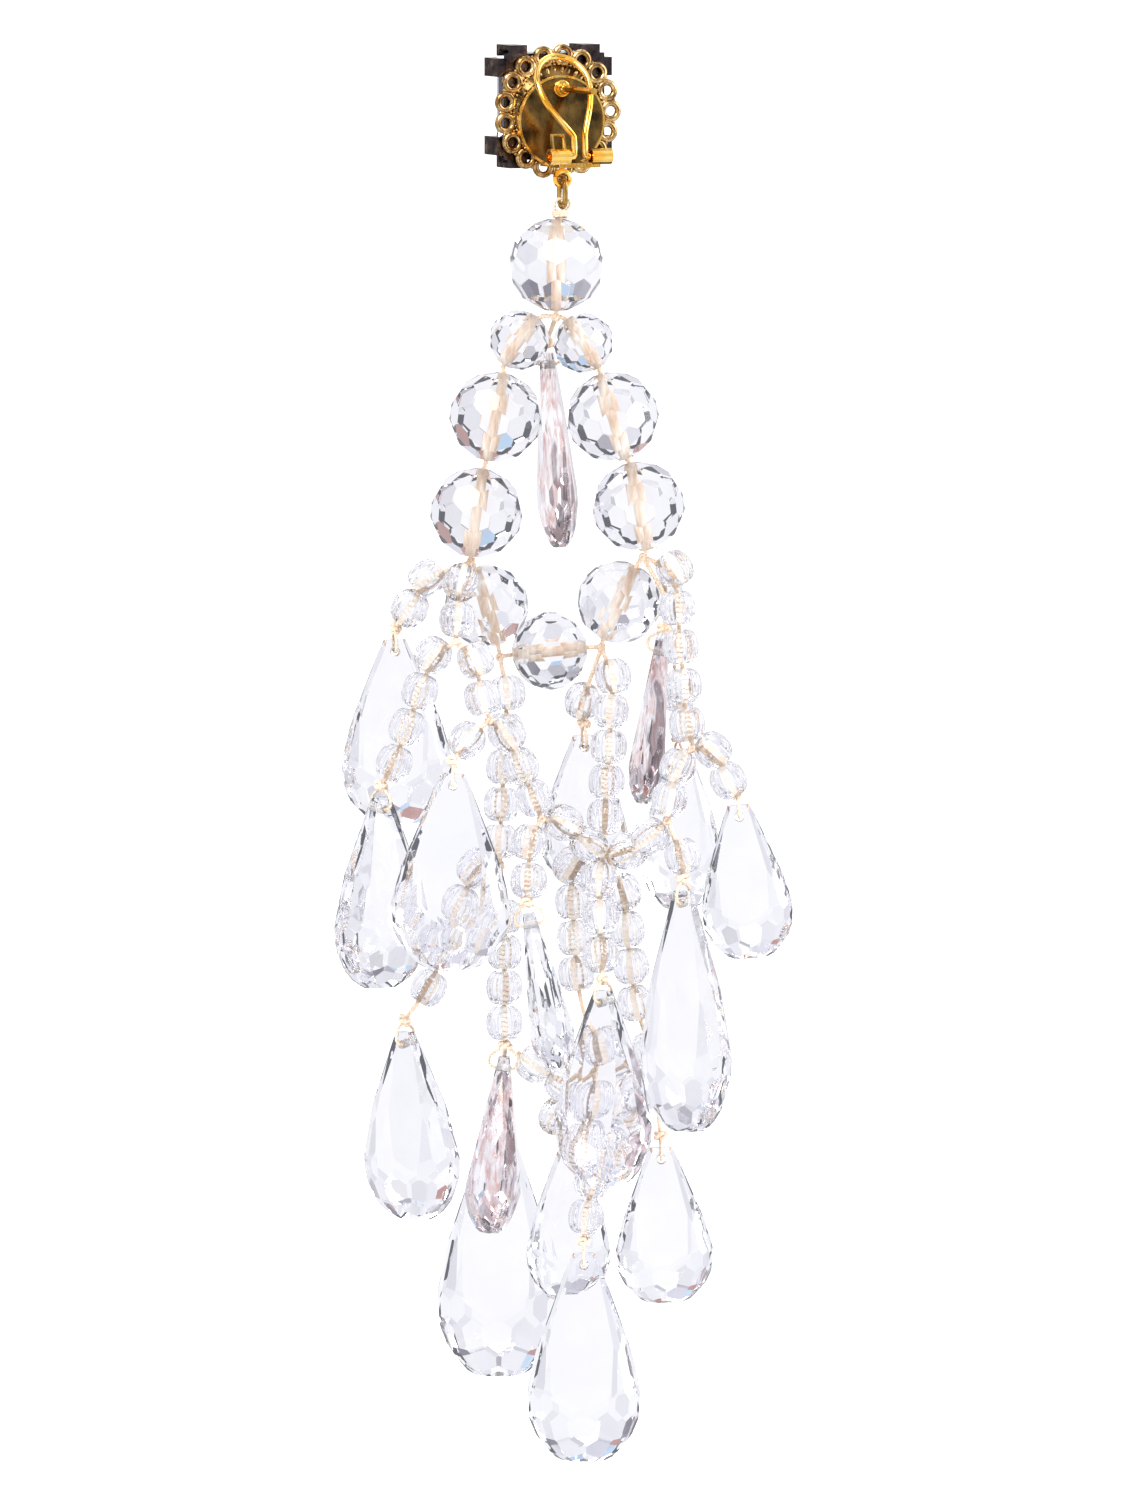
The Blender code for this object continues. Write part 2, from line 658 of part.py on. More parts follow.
def build_clip_back():
    """Back plate with its rim, post, shelf, barrels and strap, and the eye below: one soldered piece."""
    centre = Vector((0, PLATE_BACK, -PLATE_DROP))
    bm = bmesh.new()
    rim = PLATE_RADIUS - RIM_WIDTH
    profile = (
        (0, 0),
        (rim, 0),
        (rim, -RIM_HEIGHT),
        (PLATE_RADIUS, -RIM_HEIGHT),
        (PLATE_RADIUS, PLATE_THICKNESS),
        (0, PLATE_THICKNESS),
    )
    verts = [bm.verts.new((x, y, 0)) for x, y in profile]
    edges = [bm.edges.new(pair) for pair in zip(verts, verts[1:])]
    bmesh.ops.spin(bm, geom=verts + edges, axis=(0, 1, 0), cent=(0, 0, 0), steps=36, angle=math.tau)
    bmesh.ops.remove_doubles(bm, verts=bm.verts, dist=1e-6)
    bmesh.ops.translate(bm, vec=centre, verts=bm.verts)
    plate = add_object("clip_back", to_mesh("clip_back", bm), GOLD)

    solder = 0.0003
    root = PLATE_BACK + solder
    boolean(plate, rod_mesh("post", (0, root, 0), (0, PLATE_BACK - POST_LENGTH, 0), POST_RADIUS, 12), "UNION")
    boolean(plate, rod_mesh("boss", (0, root, 0), (0, PLATE_BACK - BOSS_LENGTH, 0), BOSS_RADIUS, 12), "UNION")
    shelf_top = HINGE_Z - BARREL_RADIUS + SOLDER
    low = (-SHELF_WIDTH / 2, HINGE_Y, shelf_top - SHELF_THICKNESS)
    boolean(plate, box_mesh("shelf", low, (SHELF_WIDTH / 2, root, shelf_top)), "UNION")
    for side in (-1, 1):
        start = (side * BARREL_START, HINGE_Y, HINGE_Z)
        end = (side * (BARREL_START + BARREL_LENGTH), HINGE_Y, HINGE_Z)
        boolean(plate, rod_mesh("barrel", start, end, BARREL_RADIUS, 16), "UNION")
    foot = HINGE_Z + BARREL_RADIUS - SOLDER
    outer = -(BARREL_START + BARREL_LENGTH - STRAP_INSET)
    inner = -(BARREL_START + STRAP_INSET)
    bar = (HINGE_Y + STRAP_LEAN, HINGE_Z + STRAP_HEIGHT)
    strap = [(outer, HINGE_Y, foot), (outer, *bar), (inner, *bar), (inner, HINGE_Y, foot)]
    boolean(plate, tube_mesh("strap", strap, [STRAP_WIRE] * 4, resolution=1), "UNION")
    eye = [
        Vector((math.cos(angle), 0, math.sin(angle))) * EYE_RADIUS + Vector((0, EYE_Y, EYE_Z))
        for angle in (math.tau * (step + 0.5) / 16 for step in range(16))
    ]
    boolean(plate, tube_mesh("eye", eye, [EYE_WIRE] * 16, resolution=2, closed=True), "UNION")
    stem_low = (0, EYE_Y, EYE_Z + EYE_RADIUS - EYE_WIRE * 0.4)
    stem_high = (0, PLATE_BACK + PLATE_THICKNESS / 2, -PLATE_DROP - PLATE_RADIUS + solder * 2)
    boolean(plate, rod_mesh("stem", stem_low, stem_high, EYE_WIRE * 0.95, 10), "UNION")
    reach = BARREL_START + BARREL_LENGTH + BARREL_RADIUS
    bore = rod_mesh("bore", (-reach, HINGE_Y, HINGE_Z), (reach, HINGE_Y, HINGE_Z), BARREL_BORE, 16)
    boolean(plate, bore, "DIFFERENCE")


def loop_half_width(share):
    """Half the width of the omega loop from its hinge, 0, to its crown, 1."""
    neck = 0.20
    widest = 0.74
    if share < neck:
        return LEG_HALF_SPACING
    if share < widest:
        rise = (share - neck) / (widest - neck)
        return LEG_HALF_SPACING + (LOOP_HALF_WIDTH - LEG_HALF_SPACING) * math.sin(rise * math.pi / 2) ** 1.2
    fall = (share - widest) / (1 - widest)
    return LOOP_HALF_WIDTH * math.sqrt(max(0.0, 1 - fall * fall))


def loop_point(share, side):
    """The loop rises from the barrels, leans in toward the plate and swings a little to one side."""
    lean = HINGE_BACK - LOOP_TOP_BACK
    back = HINGE_Y + lean * share**2.2
    aside = LOOP_SHIFT * math.sin(min(1.0, max(0.0, (share - 0.2) / 0.5)) * math.pi / 2)
    return Vector((side * loop_half_width(share) - aside, back, HINGE_Z + LOOP_LENGTH * share))


def build_clip_loop():
    """The omega loop: one wire whose ends turn out into the barrels."""
    shares = (0.0, 0.12, 0.22, 0.34, 0.46, 0.58, 0.70, 0.80, 0.88, 0.94, 0.98)
    pin_end = BARREL_START + BARREL_LENGTH * 0.85
    right = [loop_point(share, 1) for share in shares]
    left = [loop_point(share, -1) for share in reversed(shares)]
    crown = [loop_point(1.0, 1)]
    ends = (Vector((pin_end, HINGE_Y, HINGE_Z)), Vector((-pin_end, HINGE_Y, HINGE_Z)))
    points = [ends[0]] + right + crown + left + [ends[1]]
    curve = tube_curve("clip_loop", points, [WIRE_RADIUS] * len(points), resolution=2)
    add_object("clip_loop", curve, GOLD)


def add_hole(curve, centre, radius, points):
    spline = curve.splines.new("POLY")
    spline.points.add(points - 1)
    for step, place in enumerate(spline.points):
        angle = -math.tau * step / points
        place.co = (centre[0] + radius * math.cos(angle), centre[1] + radius * math.sin(angle), 0, 1)
    spline.use_cyclic_u = True


def build_filigree():
    """The pierced back: a scalloped disc with a ring of eyelets and a ring of small holes inside it."""
    swell = math.pi / SCALLOPS
    ring = FILIGREE_RADIUS / (1 + math.sin(swell) * SCALLOP_OVERLAP)
    scallop = FILIGREE_RADIUS - ring
    inner_ring = ring - INNER_HOLE_INSET
    curve = bpy.data.curves.new("filigree", "CURVE")
    curve.dimensions = "2D"
    curve.fill_mode = "BOTH"
    curve.extrude = FILIGREE_THICKNESS / 2
    outline = curve.splines.new("POLY")
    valley = ring * math.cos(swell) + math.sqrt(scallop**2 - (ring * math.sin(swell)) ** 2)
    limit = math.atan2(valley * math.sin(swell), valley * math.cos(swell) - ring) * 0.93
    steps = 6
    path = []
    for number in range(SCALLOPS):
        middle = math.tau * number / SCALLOPS
        centre = Vector((math.cos(middle), math.sin(middle))) * ring
        for step in range(steps):
            angle = middle + limit * (2 * step / (steps - 1) - 1)
            path.append(centre + Vector((math.cos(angle), math.sin(angle))) * scallop)
    outline.points.add(len(path) - 1)
    for place, point in zip(outline.points, path):
        place.co = (point.x, point.y, 0, 1)
    outline.use_cyclic_u = True
    for number in range(SCALLOPS):
        angle = math.tau * number / SCALLOPS
        add_hole(curve, (ring * math.cos(angle), ring * math.sin(angle)), SCALLOP_HOLE, 8)
        angle += swell
        place = (inner_ring * math.cos(angle), inner_ring * math.sin(angle))
        add_hole(curve, place, INNER_HOLE, 6)
    made = add_object("filigree_back", curve, OLD_GOLD)
    made.location = (0, FILIGREE_BACK + FILIGREE_THICKNESS / 2, -PLATE_DROP + FILIGREE_RISE)
    made.rotation_euler = (math.pi / 2, 0, 0)


def build_stone(centre):
    """A square cushion with cut corners, its table to the front."""
    half = STONE_WIDTH / 2 / MM
    height = STONE_HEIGHT / MM
    corner = half * math.sqrt(2) - STONE_CORNER / MM / math.sqrt(2)
    girdle = height * STONE_GIRDLE
    planes = [(Vector((0, 0, 1)), height), (Vector((0, 0, -1)), 0.0)]
    for step in range(8):
        angle = math.tau * step / 8
        side = Vector((math.cos(angle), math.sin(angle), 0))
        reach = half if step % 2 == 0 else corner
        planes.append((side, reach))
        for tilt, rise in ((58, girdle + 0.5), (38, girdle + 1.3)):
            normal = side * math.cos(math.radians(tilt)) + Vector((0, 0, math.sin(math.radians(tilt))))
            inset = 0.0 if tilt == 58 else 1.1
            planes.append((normal, normal.dot(side * (reach - inset) + Vector((0, 0, rise)))))
        normal = side * math.cos(math.radians(48)) - Vector((0, 0, math.sin(math.radians(48))))
        planes.append((normal, normal.dot(side * reach + Vector((0, 0, girdle)))))
    stone = add_object("head_stone", to_mesh("head_stone", cut_gem(planes, half * 6)), SMOKE)
    stone.rotation_euler = (-math.pi / 2, 0, 0)
    stone.location = centre


def prism_mesh(name, profile, low, high):
    """A profile in X and Y, drawn out along Z from low to high."""
    bm = bmesh.new()
    face = bm.faces.new([bm.verts.new((x, y, low)) for x, y in profile])
    moved = bmesh.ops.extrude_face_region(bm, geom=[face])["geom"]
    verts = [item for item in moved if isinstance(item, bmesh.types.BMVert)]
    bmesh.ops.translate(bm, vec=(0, 0, high - low), verts=verts)
    return to_mesh(name, bm)


def build_cup(centre):
    """The dark cup behind the stone, with two prongs on each side that fold over its edge."""
    half = STONE_WIDTH / 2
    base = half - CUP_INSET
    back = centre.y - CUP_THICKNESS - GAP
    low = (-base, back, centre.z - base)
    high = (base, back + CUP_THICKNESS, centre.z + base)
    cup = add_object("stone_cup", box_mesh("stone_cup", low, high), GUNMETAL)
    inner = half + GAP
    outer = inner + PRONG_THICKNESS
    back = -CUP_THICKNESS - GAP + PRONG_INSET
    front = -GAP - PRONG_INSET
    lip = STONE_HEIGHT * STONE_GIRDLE + PRONG_REACH
    profile = (
        (base - PRONG_FOOT, back),
        (outer, back),
        (outer, lip),
        (inner - PRONG_LIP, lip),
        (inner - PRONG_LIP, lip - PRONG_THICKNESS),
        (inner, lip - PRONG_THICKNESS * 1.6),
        (inner, front),
        (base - PRONG_FOOT, front),
    )
    for side in range(4):
        turn = Matrix.Translation(centre) @ Matrix.Rotation(math.pi / 2 * side, 4, "Y")
        for shift in (-PRONG_SPACING / 2, PRONG_SPACING / 2):
            mesh = prism_mesh("prong", profile, shift - PRONG_WIDTH / 2, shift + PRONG_WIDTH / 2)
            mesh.transform(turn)
            boolean(cup, mesh, "UNION")


clear_scene()
EARRING = make_collection("chandelier_earring")
CUTTERS = make_collection("cutters")
CRYSTAL = make_material("clear_crystal", (0.95, 0.95, 0.97), 0.03, transmission=0.95)
SMOKE = make_material("smoke_stone", (0.55, 0.52, 0.60), 0.06, transmission=0.6)
GOLD = make_material("bright_gold", (0.95, 0.68, 0.18), 0.18, metallic=1.0)
OLD_GOLD = make_material("old_gold", (0.42, 0.30, 0.13), 0.42, metallic=1.0)
GUNMETAL = make_material("gunmetal", (0.16, 0.13, 0.13), 0.38, metallic=1.0)
THREAD = make_material("cream_thread", (0.86, 0.74, 0.60), 0.75)

stone_centre = Vector((0, STONE_BACK, -PLATE_DROP + CUP_RISE))
build_stone(stone_centre)
build_cup(stone_centre)
build_filigree()
build_clip_back()
build_clip_loop()
build_link()
net_frame = bpy.data.objects.new("net_frame", None)
EARRING.objects.link(net_frame)
net_frame.location = PIVOT
net_frame.rotation_euler = (0, 0, NET_TURN)
bpy.context.view_layer.update()
build_net(net_frame)
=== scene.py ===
import json
import math
import random

import bmesh
import bpy
from mathutils import Matrix, Vector


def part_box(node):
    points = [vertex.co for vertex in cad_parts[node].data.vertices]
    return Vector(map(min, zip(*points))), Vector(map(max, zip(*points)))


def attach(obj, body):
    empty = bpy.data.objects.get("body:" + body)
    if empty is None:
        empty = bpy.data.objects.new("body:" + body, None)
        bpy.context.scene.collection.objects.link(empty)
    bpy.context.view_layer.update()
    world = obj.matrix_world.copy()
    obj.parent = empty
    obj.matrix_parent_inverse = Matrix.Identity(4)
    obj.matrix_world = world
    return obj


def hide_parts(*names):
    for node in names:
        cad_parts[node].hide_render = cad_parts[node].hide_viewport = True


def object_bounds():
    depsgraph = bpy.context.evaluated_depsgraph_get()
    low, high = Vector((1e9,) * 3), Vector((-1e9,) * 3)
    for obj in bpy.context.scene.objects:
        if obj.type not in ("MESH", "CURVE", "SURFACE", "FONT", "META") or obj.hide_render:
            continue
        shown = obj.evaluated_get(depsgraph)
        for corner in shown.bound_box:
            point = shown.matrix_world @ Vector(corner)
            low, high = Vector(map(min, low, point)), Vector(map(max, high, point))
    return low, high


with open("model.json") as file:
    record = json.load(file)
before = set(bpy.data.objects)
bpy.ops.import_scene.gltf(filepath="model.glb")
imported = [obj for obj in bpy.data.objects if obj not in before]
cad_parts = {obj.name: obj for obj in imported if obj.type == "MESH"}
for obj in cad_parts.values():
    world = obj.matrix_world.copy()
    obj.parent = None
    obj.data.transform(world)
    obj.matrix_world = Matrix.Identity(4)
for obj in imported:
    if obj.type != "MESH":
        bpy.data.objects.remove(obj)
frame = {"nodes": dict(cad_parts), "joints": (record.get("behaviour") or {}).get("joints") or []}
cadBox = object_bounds()
print("frame loaded")

mm = 0.001
jointPlaces = {joint["name"]: Vector(joint["pos_m"]) for joint in frame["joints"]}
# the net is built in millimetres: across, away from the clip side, up
netMatrix = (
    Matrix.Translation(jointPlaces["drop_swing"])
    @ Matrix.Rotation(math.radians(-22), 4, "Z")
    @ Matrix.Scale(mm, 4)
)


# helpers
def netPoint(across, down, toward):
    return Vector((across, -toward, -down))


def addPiece(name, bm, material, body, nodes=(), place=None, smooth=True):
    bmesh.ops.recalc_face_normals(bm, faces=bm.faces)
    if bm.calc_volume(signed=True) < 0:  # a bored stone can come out inside out
        bmesh.ops.reverse_faces(bm, faces=bm.faces)
    mesh = bpy.data.meshes.new(name)
    bm.to_mesh(mesh)
    bm.free()
    mesh.transform(place or netMatrix)
    for face in mesh.polygons:
        face.use_smooth = smooth
    for surface in material if isinstance(material, (list, tuple)) else [material]:
        mesh.materials.append(surface)
    piece = bpy.data.objects.new(name, mesh)
    bpy.context.scene.collection.objects.link(piece)
    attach(piece, body)
    if nodes:
        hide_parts(*nodes)
    return piece


def roundedPath(points, passes=2):
    for _ in range(passes):
        cut = [points[0]]
        for one, two in zip(points, points[1:]):
            cut += [one.lerp(two, 0.25), one.lerp(two, 0.75)]
        points = cut + [points[-1]]
    return points


def evenPath(points, step):
    # the same route with points a set distance apart
    lengths = [0.0]
    for one, two in zip(points, points[1:]):
        lengths.append(lengths[-1] + (two - one).length)
    count = max(2, int(lengths[-1] / step) + 1)
    found = []
    place = 0
    for number in range(count):
        want = lengths[-1] * number / (count - 1)
        while place < len(points) - 2 and lengths[place + 1] < want:
            place += 1
        span = max(lengths[place + 1] - lengths[place], 1e-9)
        found.append(points[place].lerp(points[place + 1], (want - lengths[place]) / span))
    return found


def sweep(bm, points, section, closed=False):
    # section(step, count) gives the outline's points round the path, as pairs
    ring = None
    first = None
    side = None
    count = len(points)
    for step, here in enumerate(points):
        before = points[step - 1] if step or closed else here
        after = points[(step + 1) % count] if step + 1 < count or closed else here
        way = (after - before).normalized()
        if side is None:
            side = way.orthogonal()
        side = (side - way * side.dot(way)).normalized()
        other = way.cross(side)
        new = [bm.verts.new(here + side * x + other * y) for x, y in section(step, count)]
        if ring:
            for one in range(len(new)):
                two = (one + 1) % len(new)
                bm.faces.new((ring[one], ring[two], new[two], new[one]))
        first = first or new
        ring = new
    if closed:
        shift = min(range(len(ring)), key=lambda k: (ring[0].co - first[k].co).length)
        for one in range(len(ring)):
            two = (one + 1) % len(ring)
            pair = first[(two + shift) % len(ring)], first[(one + shift) % len(ring)]
            bm.faces.new((ring[one], ring[two], *pair))
    else:
        bm.faces.new(first)
        bm.faces.new(reversed(ring))


def roundSection(radius, sides=12):
    outline = [
        (radius * math.cos(math.tau * k / sides), radius * math.sin(math.tau * k / sides))
        for k in range(sides)
    ]
    return lambda step, count: outline


def cutGem(planes, reach):
    # a convex stone: a block cut by each plane in turn
    bm = bmesh.new()
    bmesh.ops.create_cube(bm, size=reach)
    for normal, distance in planes:
        everything = bm.verts[:] + bm.edges[:] + bm.faces[:]
        cut = bmesh.ops.bisect_plane(
            bm, geom=everything, plane_co=normal * distance, plane_no=normal, clear_outer=True, dist=1e-5
        )
        edges = [item for item in cut["geom_cut"] if isinstance(item, bmesh.types.BMEdge)]
        if edges:
            bmesh.ops.edgenet_fill(bm, edges=edges)
    bmesh.ops.remove_doubles(bm, verts=bm.verts, dist=0.01)
    bmesh.ops.recalc_face_normals(bm, faces=bm.faces)
    return bm


def drill(bm, start, end, radius, sides=12):
    # bores a hole through the stone; its frosted wall takes the second material
    way = end - start
    cutter = bmesh.new()
    turn = way.to_track_quat("Z", "Y").to_matrix().to_4x4()
    place = Matrix.Translation((start + end) / 2) @ turn
    bmesh.ops.create_cone(
        cutter, cap_ends=True, segments=sides, radius1=radius, radius2=radius, depth=way.length, matrix=place
    )
    made = []
    for source in (bm, cutter):
        mesh = bpy.data.meshes.new("boring")
        source.to_mesh(mesh)
        source.free()
        helper = bpy.data.objects.new("boring", mesh)
        bpy.context.scene.collection.objects.link(helper)
        made.append(helper)
    stone, rod = made
    modifier = stone.modifiers.new("bore", "BOOLEAN")
    modifier.operation = "DIFFERENCE"
    modifier.solver = "EXACT"
    modifier.object = rod
    graph = bpy.context.evaluated_depsgraph_get()
    bored = bpy.data.meshes.new_from_object(stone.evaluated_get(graph))
    result = bmesh.new()
    result.from_mesh(bored)
    axis = way.normalized()
    for face in result.faces:
        centre = face.calc_center_median() - start
        off = (centre - axis * centre.dot(axis)).length
        face.material_index = 1 if off < radius and abs(face.normal.dot(axis)) < 0.2 else 0
    for helper in made:
        mesh = helper.data
        bpy.data.objects.remove(helper)
        bpy.data.meshes.remove(mesh)
    bpy.data.meshes.remove(bored)
    return result


# materials
def newMaterial(name):
    made = bpy.data.materials.new(name)
    made.use_nodes = True
    tree = made.node_tree
    return made, tree, tree.nodes["Principled BSDF"]


def addNode(tree, kind, **values):
    node = tree.nodes.new(kind)
    for key, value in values.items():
        if hasattr(node, key):
            setattr(node, key, value)
        else:
            node.inputs[key.replace("_", " ")].default_value = value
    return node


def addRamp(tree, source, stops, constant=False):
    ramp = tree.nodes.new("ShaderNodeValToRGB")
    if constant:
        ramp.color_ramp.interpolation = "CONSTANT"
    while len(ramp.color_ramp.elements) < len(stops):
        ramp.color_ramp.elements.new(0.5)
    for element, (position, colour) in zip(ramp.color_ramp.elements, stops):
        element.position = position
        element.color = (*colour, 1)
    tree.links.new(source, ramp.inputs["Fac"])
    return ramp


def addBump(tree, shader, source, strength, distance):
    bump = addNode(tree, "ShaderNodeBump", Strength=strength, Distance=distance)
    tree.links.new(source, bump.inputs["Height"])
    tree.links.new(bump.outputs["Normal"], shader.inputs["Normal"])


def objectNoise(tree, scale, detail=4, stretch=None):
    coords = tree.nodes.new("ShaderNodeTexCoord")
    noise = addNode(tree, "ShaderNodeTexNoise", Scale=scale, Detail=detail)
    if stretch:
        mapping = tree.nodes.new("ShaderNodeMapping")
        mapping.inputs["Scale"].default_value = stretch
        tree.links.new(coords.outputs["Object"], mapping.inputs["Vector"])
        tree.links.new(mapping.outputs["Vector"], noise.inputs["Vector"])
    else:
        tree.links.new(coords.outputs["Object"], noise.inputs["Vector"])
    return noise


crystalLook = {
    "tintScale": 160,
    "tintStretch": (1, 1, 1),
    "tints": [(0.30, (0.91, 0.91, 0.93)), (0.70, (0.975, 0.97, 0.98))],
    # painted shade: greyer colours for faces that slant away from the view
    "paintedSlantShade": [
        (0.0, (0.975, 0.975, 0.985)),
        (0.50, (0.96, 0.96, 0.975)),
        (0.72, (0.92, 0.92, 0.945)),
        (0.90, (0.81, 0.81, 0.84)),
        (1.0, (0.68, 0.68, 0.71)),
    ],
    "mirrorTint": (0.92, 0.92, 0.94, 1.0),
    "glowTint": (0.86, 0.88, 1.0, 1.0),
    "glow": 0.022,  # painted glow, faintly blue: keeps the deepest reflections grey
    "ior": 1.49,
    "rippleScale": 900,
    "rippleDepth": 0.00002,
}


def crystalMaterial(name, look):
    made, tree, shader = newMaterial(name)
    noise = objectNoise(tree, look["tintScale"], 4, look["tintStretch"])
    ramp = addRamp(tree, noise.outputs["Fac"], look["tints"])
    facing = addNode(tree, "ShaderNodeLayerWeight", Blend=0.5)
    paintedSlantShade = addRamp(tree, facing.outputs["Facing"], look["paintedSlantShade"])  # painted shade: the stone's colour is painted greyer where its face slants away from the view
    mix = tree.nodes.new("ShaderNodeMix")
    mix.data_type = "RGBA"
    mix.blend_type = "MULTIPLY"
    mix.inputs["Factor"].default_value = 1.0
    tree.links.new(ramp.outputs["Color"], mix.inputs["A"])
    tree.links.new(paintedSlantShade.outputs["Color"], mix.inputs["B"])
    tree.links.new(mix.outputs["Result"], shader.inputs["Base Color"])
    shader.inputs["Specular Tint"].default_value = look["mirrorTint"]
    # painted glow on the glass, from the look's glowTint and glow
    shader.inputs["Emission Color"].default_value = look["glowTint"]
    shader.inputs["Emission Strength"].default_value = look["glow"]
    shader.inputs["Transmission Weight"].default_value = 1.0
    shader.inputs["Roughness"].default_value = 0.0
    shader.inputs["IOR"].default_value = look["ior"]
    ripple = objectNoise(tree, look["rippleScale"], 2)
    addBump(tree, shader, ripple.outputs["Fac"], 0.15, look["rippleDepth"])
    return made


frostedLook = {
    "scale": 4000,
    "stretch": (1.0, 1.0, 1.0),
    "tints": [(0.3, (0.86, 0.85, 0.84)), (0.7, (0.97, 0.97, 0.97))],
    "glow": 0.0,
}
# bores filled by the thread show its colour through the bead, with a faint painted glow
filledLook = {
    "scale": 900,
    "stretch": (1.0, 1.0, 0.2),
    "tints": [(0.32, (0.68, 0.49, 0.36)), (0.50, (0.86, 0.70, 0.56)), (0.64, (0.98, 0.90, 0.80))],
    "glow": 0.16,
}


def frostedMaterial(name, look):
    made, tree, shader = newMaterial(name)
    noise = objectNoise(tree, look["scale"], 4, look["stretch"])
    ramp = addRamp(tree, noise.outputs["Fac"], look["tints"])
    tree.links.new(ramp.outputs["Color"], shader.inputs["Base Color"])
    shader.inputs["Roughness"].default_value = 0.6
    # painted glow in the surface's own colour, where the look gives a glow
    tree.links.new(ramp.outputs["Color"], shader.inputs["Emission Color"])
    shader.inputs["Emission Strength"].default_value = look["glow"]
    return made


brightGoldLook = {
    "tints": [(0.35, (0.90, 0.44, 0.045)), (0.65, (1.0, 0.72, 0.24))],
    "patchScale": 420,
    "roughness": [(0.3, (0.07, 0.07, 0.07)), (0.7, (0.17, 0.17, 0.17))],
    "scratchScale": 3000,
}
linkGoldLook = {
    "tints": [(0.35, (0.30, 0.17, 0.04)), (0.65, (0.62, 0.40, 0.13))],
    "patchScale": 700,
    "roughness": [(0.3, (0.14, 0.14, 0.14)), (0.7, (0.28, 0.28, 0.28))],
    "scratchScale": 3000,
}
oldGoldLook = {
    "tints": [(0.30, (0.14, 0.075, 0.03)), (0.50, (0.50, 0.31, 0.12)), (0.70, (0.90, 0.67, 0.36))],
    "patchScale": 1100,
    "roughness": [(0.3, (0.16, 0.16, 0.16)), (0.7, (0.32, 0.32, 0.32))],
    "scratchScale": 2500,
}
bronzeLook = {
    "tints": [(0.35, (0.060, 0.040, 0.018)), (0.65, (0.30, 0.18, 0.055))],
    "patchScale": 350,
    "roughness": [(0.3, (0.10, 0.10, 0.10)), (0.7, (0.22, 0.22, 0.22))],
    "scratchScale": 2500,
}
gunmetalLook = {
    "tints": [(0.30, (0.035, 0.026, 0.032)), (0.55, (0.11, 0.085, 0.090)), (0.72, (0.30, 0.22, 0.15))],
    "patchScale": 800,
    "roughness": [(0.3, (0.14, 0.14, 0.14)), (0.7, (0.30, 0.30, 0.30))],
    "scratchScale": 2500,
}


def addScratches(tree, shader, scale):
    scratches = objectNoise(tree, scale, 3, (1, 0.12, 1))
    addBump(tree, shader, scratches.outputs["Fac"], 0.12, 0.00003)


def metalMaterial(name, look):
    made, tree, shader = newMaterial(name)
    patches = objectNoise(tree, look["patchScale"], 6)
    ramp = addRamp(tree, patches.outputs["Fac"], look["tints"])
    tree.links.new(ramp.outputs["Color"], shader.inputs["Base Color"])
    shader.inputs["Metallic"].default_value = 1.0
    wear = addRamp(tree, patches.outputs["Fac"], look["roughness"])
    tree.links.new(wear.outputs["Color"], shader.inputs["Roughness"])
    addScratches(tree, shader, look["scratchScale"])
    return made


def plateMaterial():
    # bright gold fittings, with the round plate's own face in dark bronze
    made, tree, shader = newMaterial("clipBackPlating")
    patches = objectNoise(tree, brightGoldLook["patchScale"], 6)
    gold = addRamp(tree, patches.outputs["Fac"], brightGoldLook["tints"])
    bronze = addRamp(tree, patches.outputs["Fac"], bronzeLook["tints"])
    low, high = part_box("clip_back")
    centre = Vector(((low.x + high.x) / 2, high.y - plateCentre["thickness"], plateCentre["z"]))
    coords = tree.nodes.new("ShaderNodeTexCoord")
    apart = tree.nodes.new("ShaderNodeVectorMath")
    apart.operation = "SUBTRACT"
    apart.inputs[1].default_value = centre
    tree.links.new(coords.outputs["Object"], apart.inputs[0])
    flat = tree.nodes.new("ShaderNodeVectorMath")
    flat.operation = "MULTIPLY"
    flat.inputs[1].default_value = (1, 14, 1)
    tree.links.new(apart.outputs[0], flat.inputs[0])
    length = tree.nodes.new("ShaderNodeVectorMath")
    length.operation = "LENGTH"
    tree.links.new(flat.outputs[0], length.inputs[0])
    inside = addNode(tree, "ShaderNodeMapRange")
    inside.inputs["From Min"].default_value = plateCentre["faceRadius"]
    inside.inputs["From Max"].default_value = plateCentre["faceRadius"] + 0.0001
    tree.links.new(length.outputs["Value"], inside.inputs["Value"])
    mix = tree.nodes.new("ShaderNodeMix")
    mix.data_type = "RGBA"
    tree.links.new(inside.outputs["Result"], mix.inputs["Factor"])
    tree.links.new(bronze.outputs["Color"], mix.inputs["A"])
    tree.links.new(gold.outputs["Color"], mix.inputs["B"])
    tree.links.new(mix.outputs["Result"], shader.inputs["Base Color"])
    shader.inputs["Metallic"].default_value = 1.0
    wear = addRamp(tree, patches.outputs["Fac"], bronzeLook["roughness"])
    tree.links.new(wear.outputs["Color"], shader.inputs["Roughness"])
    addScratches(tree, shader, brightGoldLook["scratchScale"])
    return made


threadLook = {
    "tints": [(0.25, (0.62, 0.37, 0.20)), (0.45, (0.82, 0.62, 0.46)), (0.68, (0.91, 0.79, 0.67))],
    "fibreScale": 5200,
    "glow": 0.0,
}
# painted light: the cord inside a bead is painted paler and given a faint painted glow, standing in for the
# light that reaches it through the bead
coreLook = {
    "tints": [(0.25, (0.86, 0.68, 0.52)), (0.45, (0.95, 0.84, 0.73)), (0.68, (1.0, 0.95, 0.88))],
    "fibreScale": 1800,
    "glow": 0.34,
}


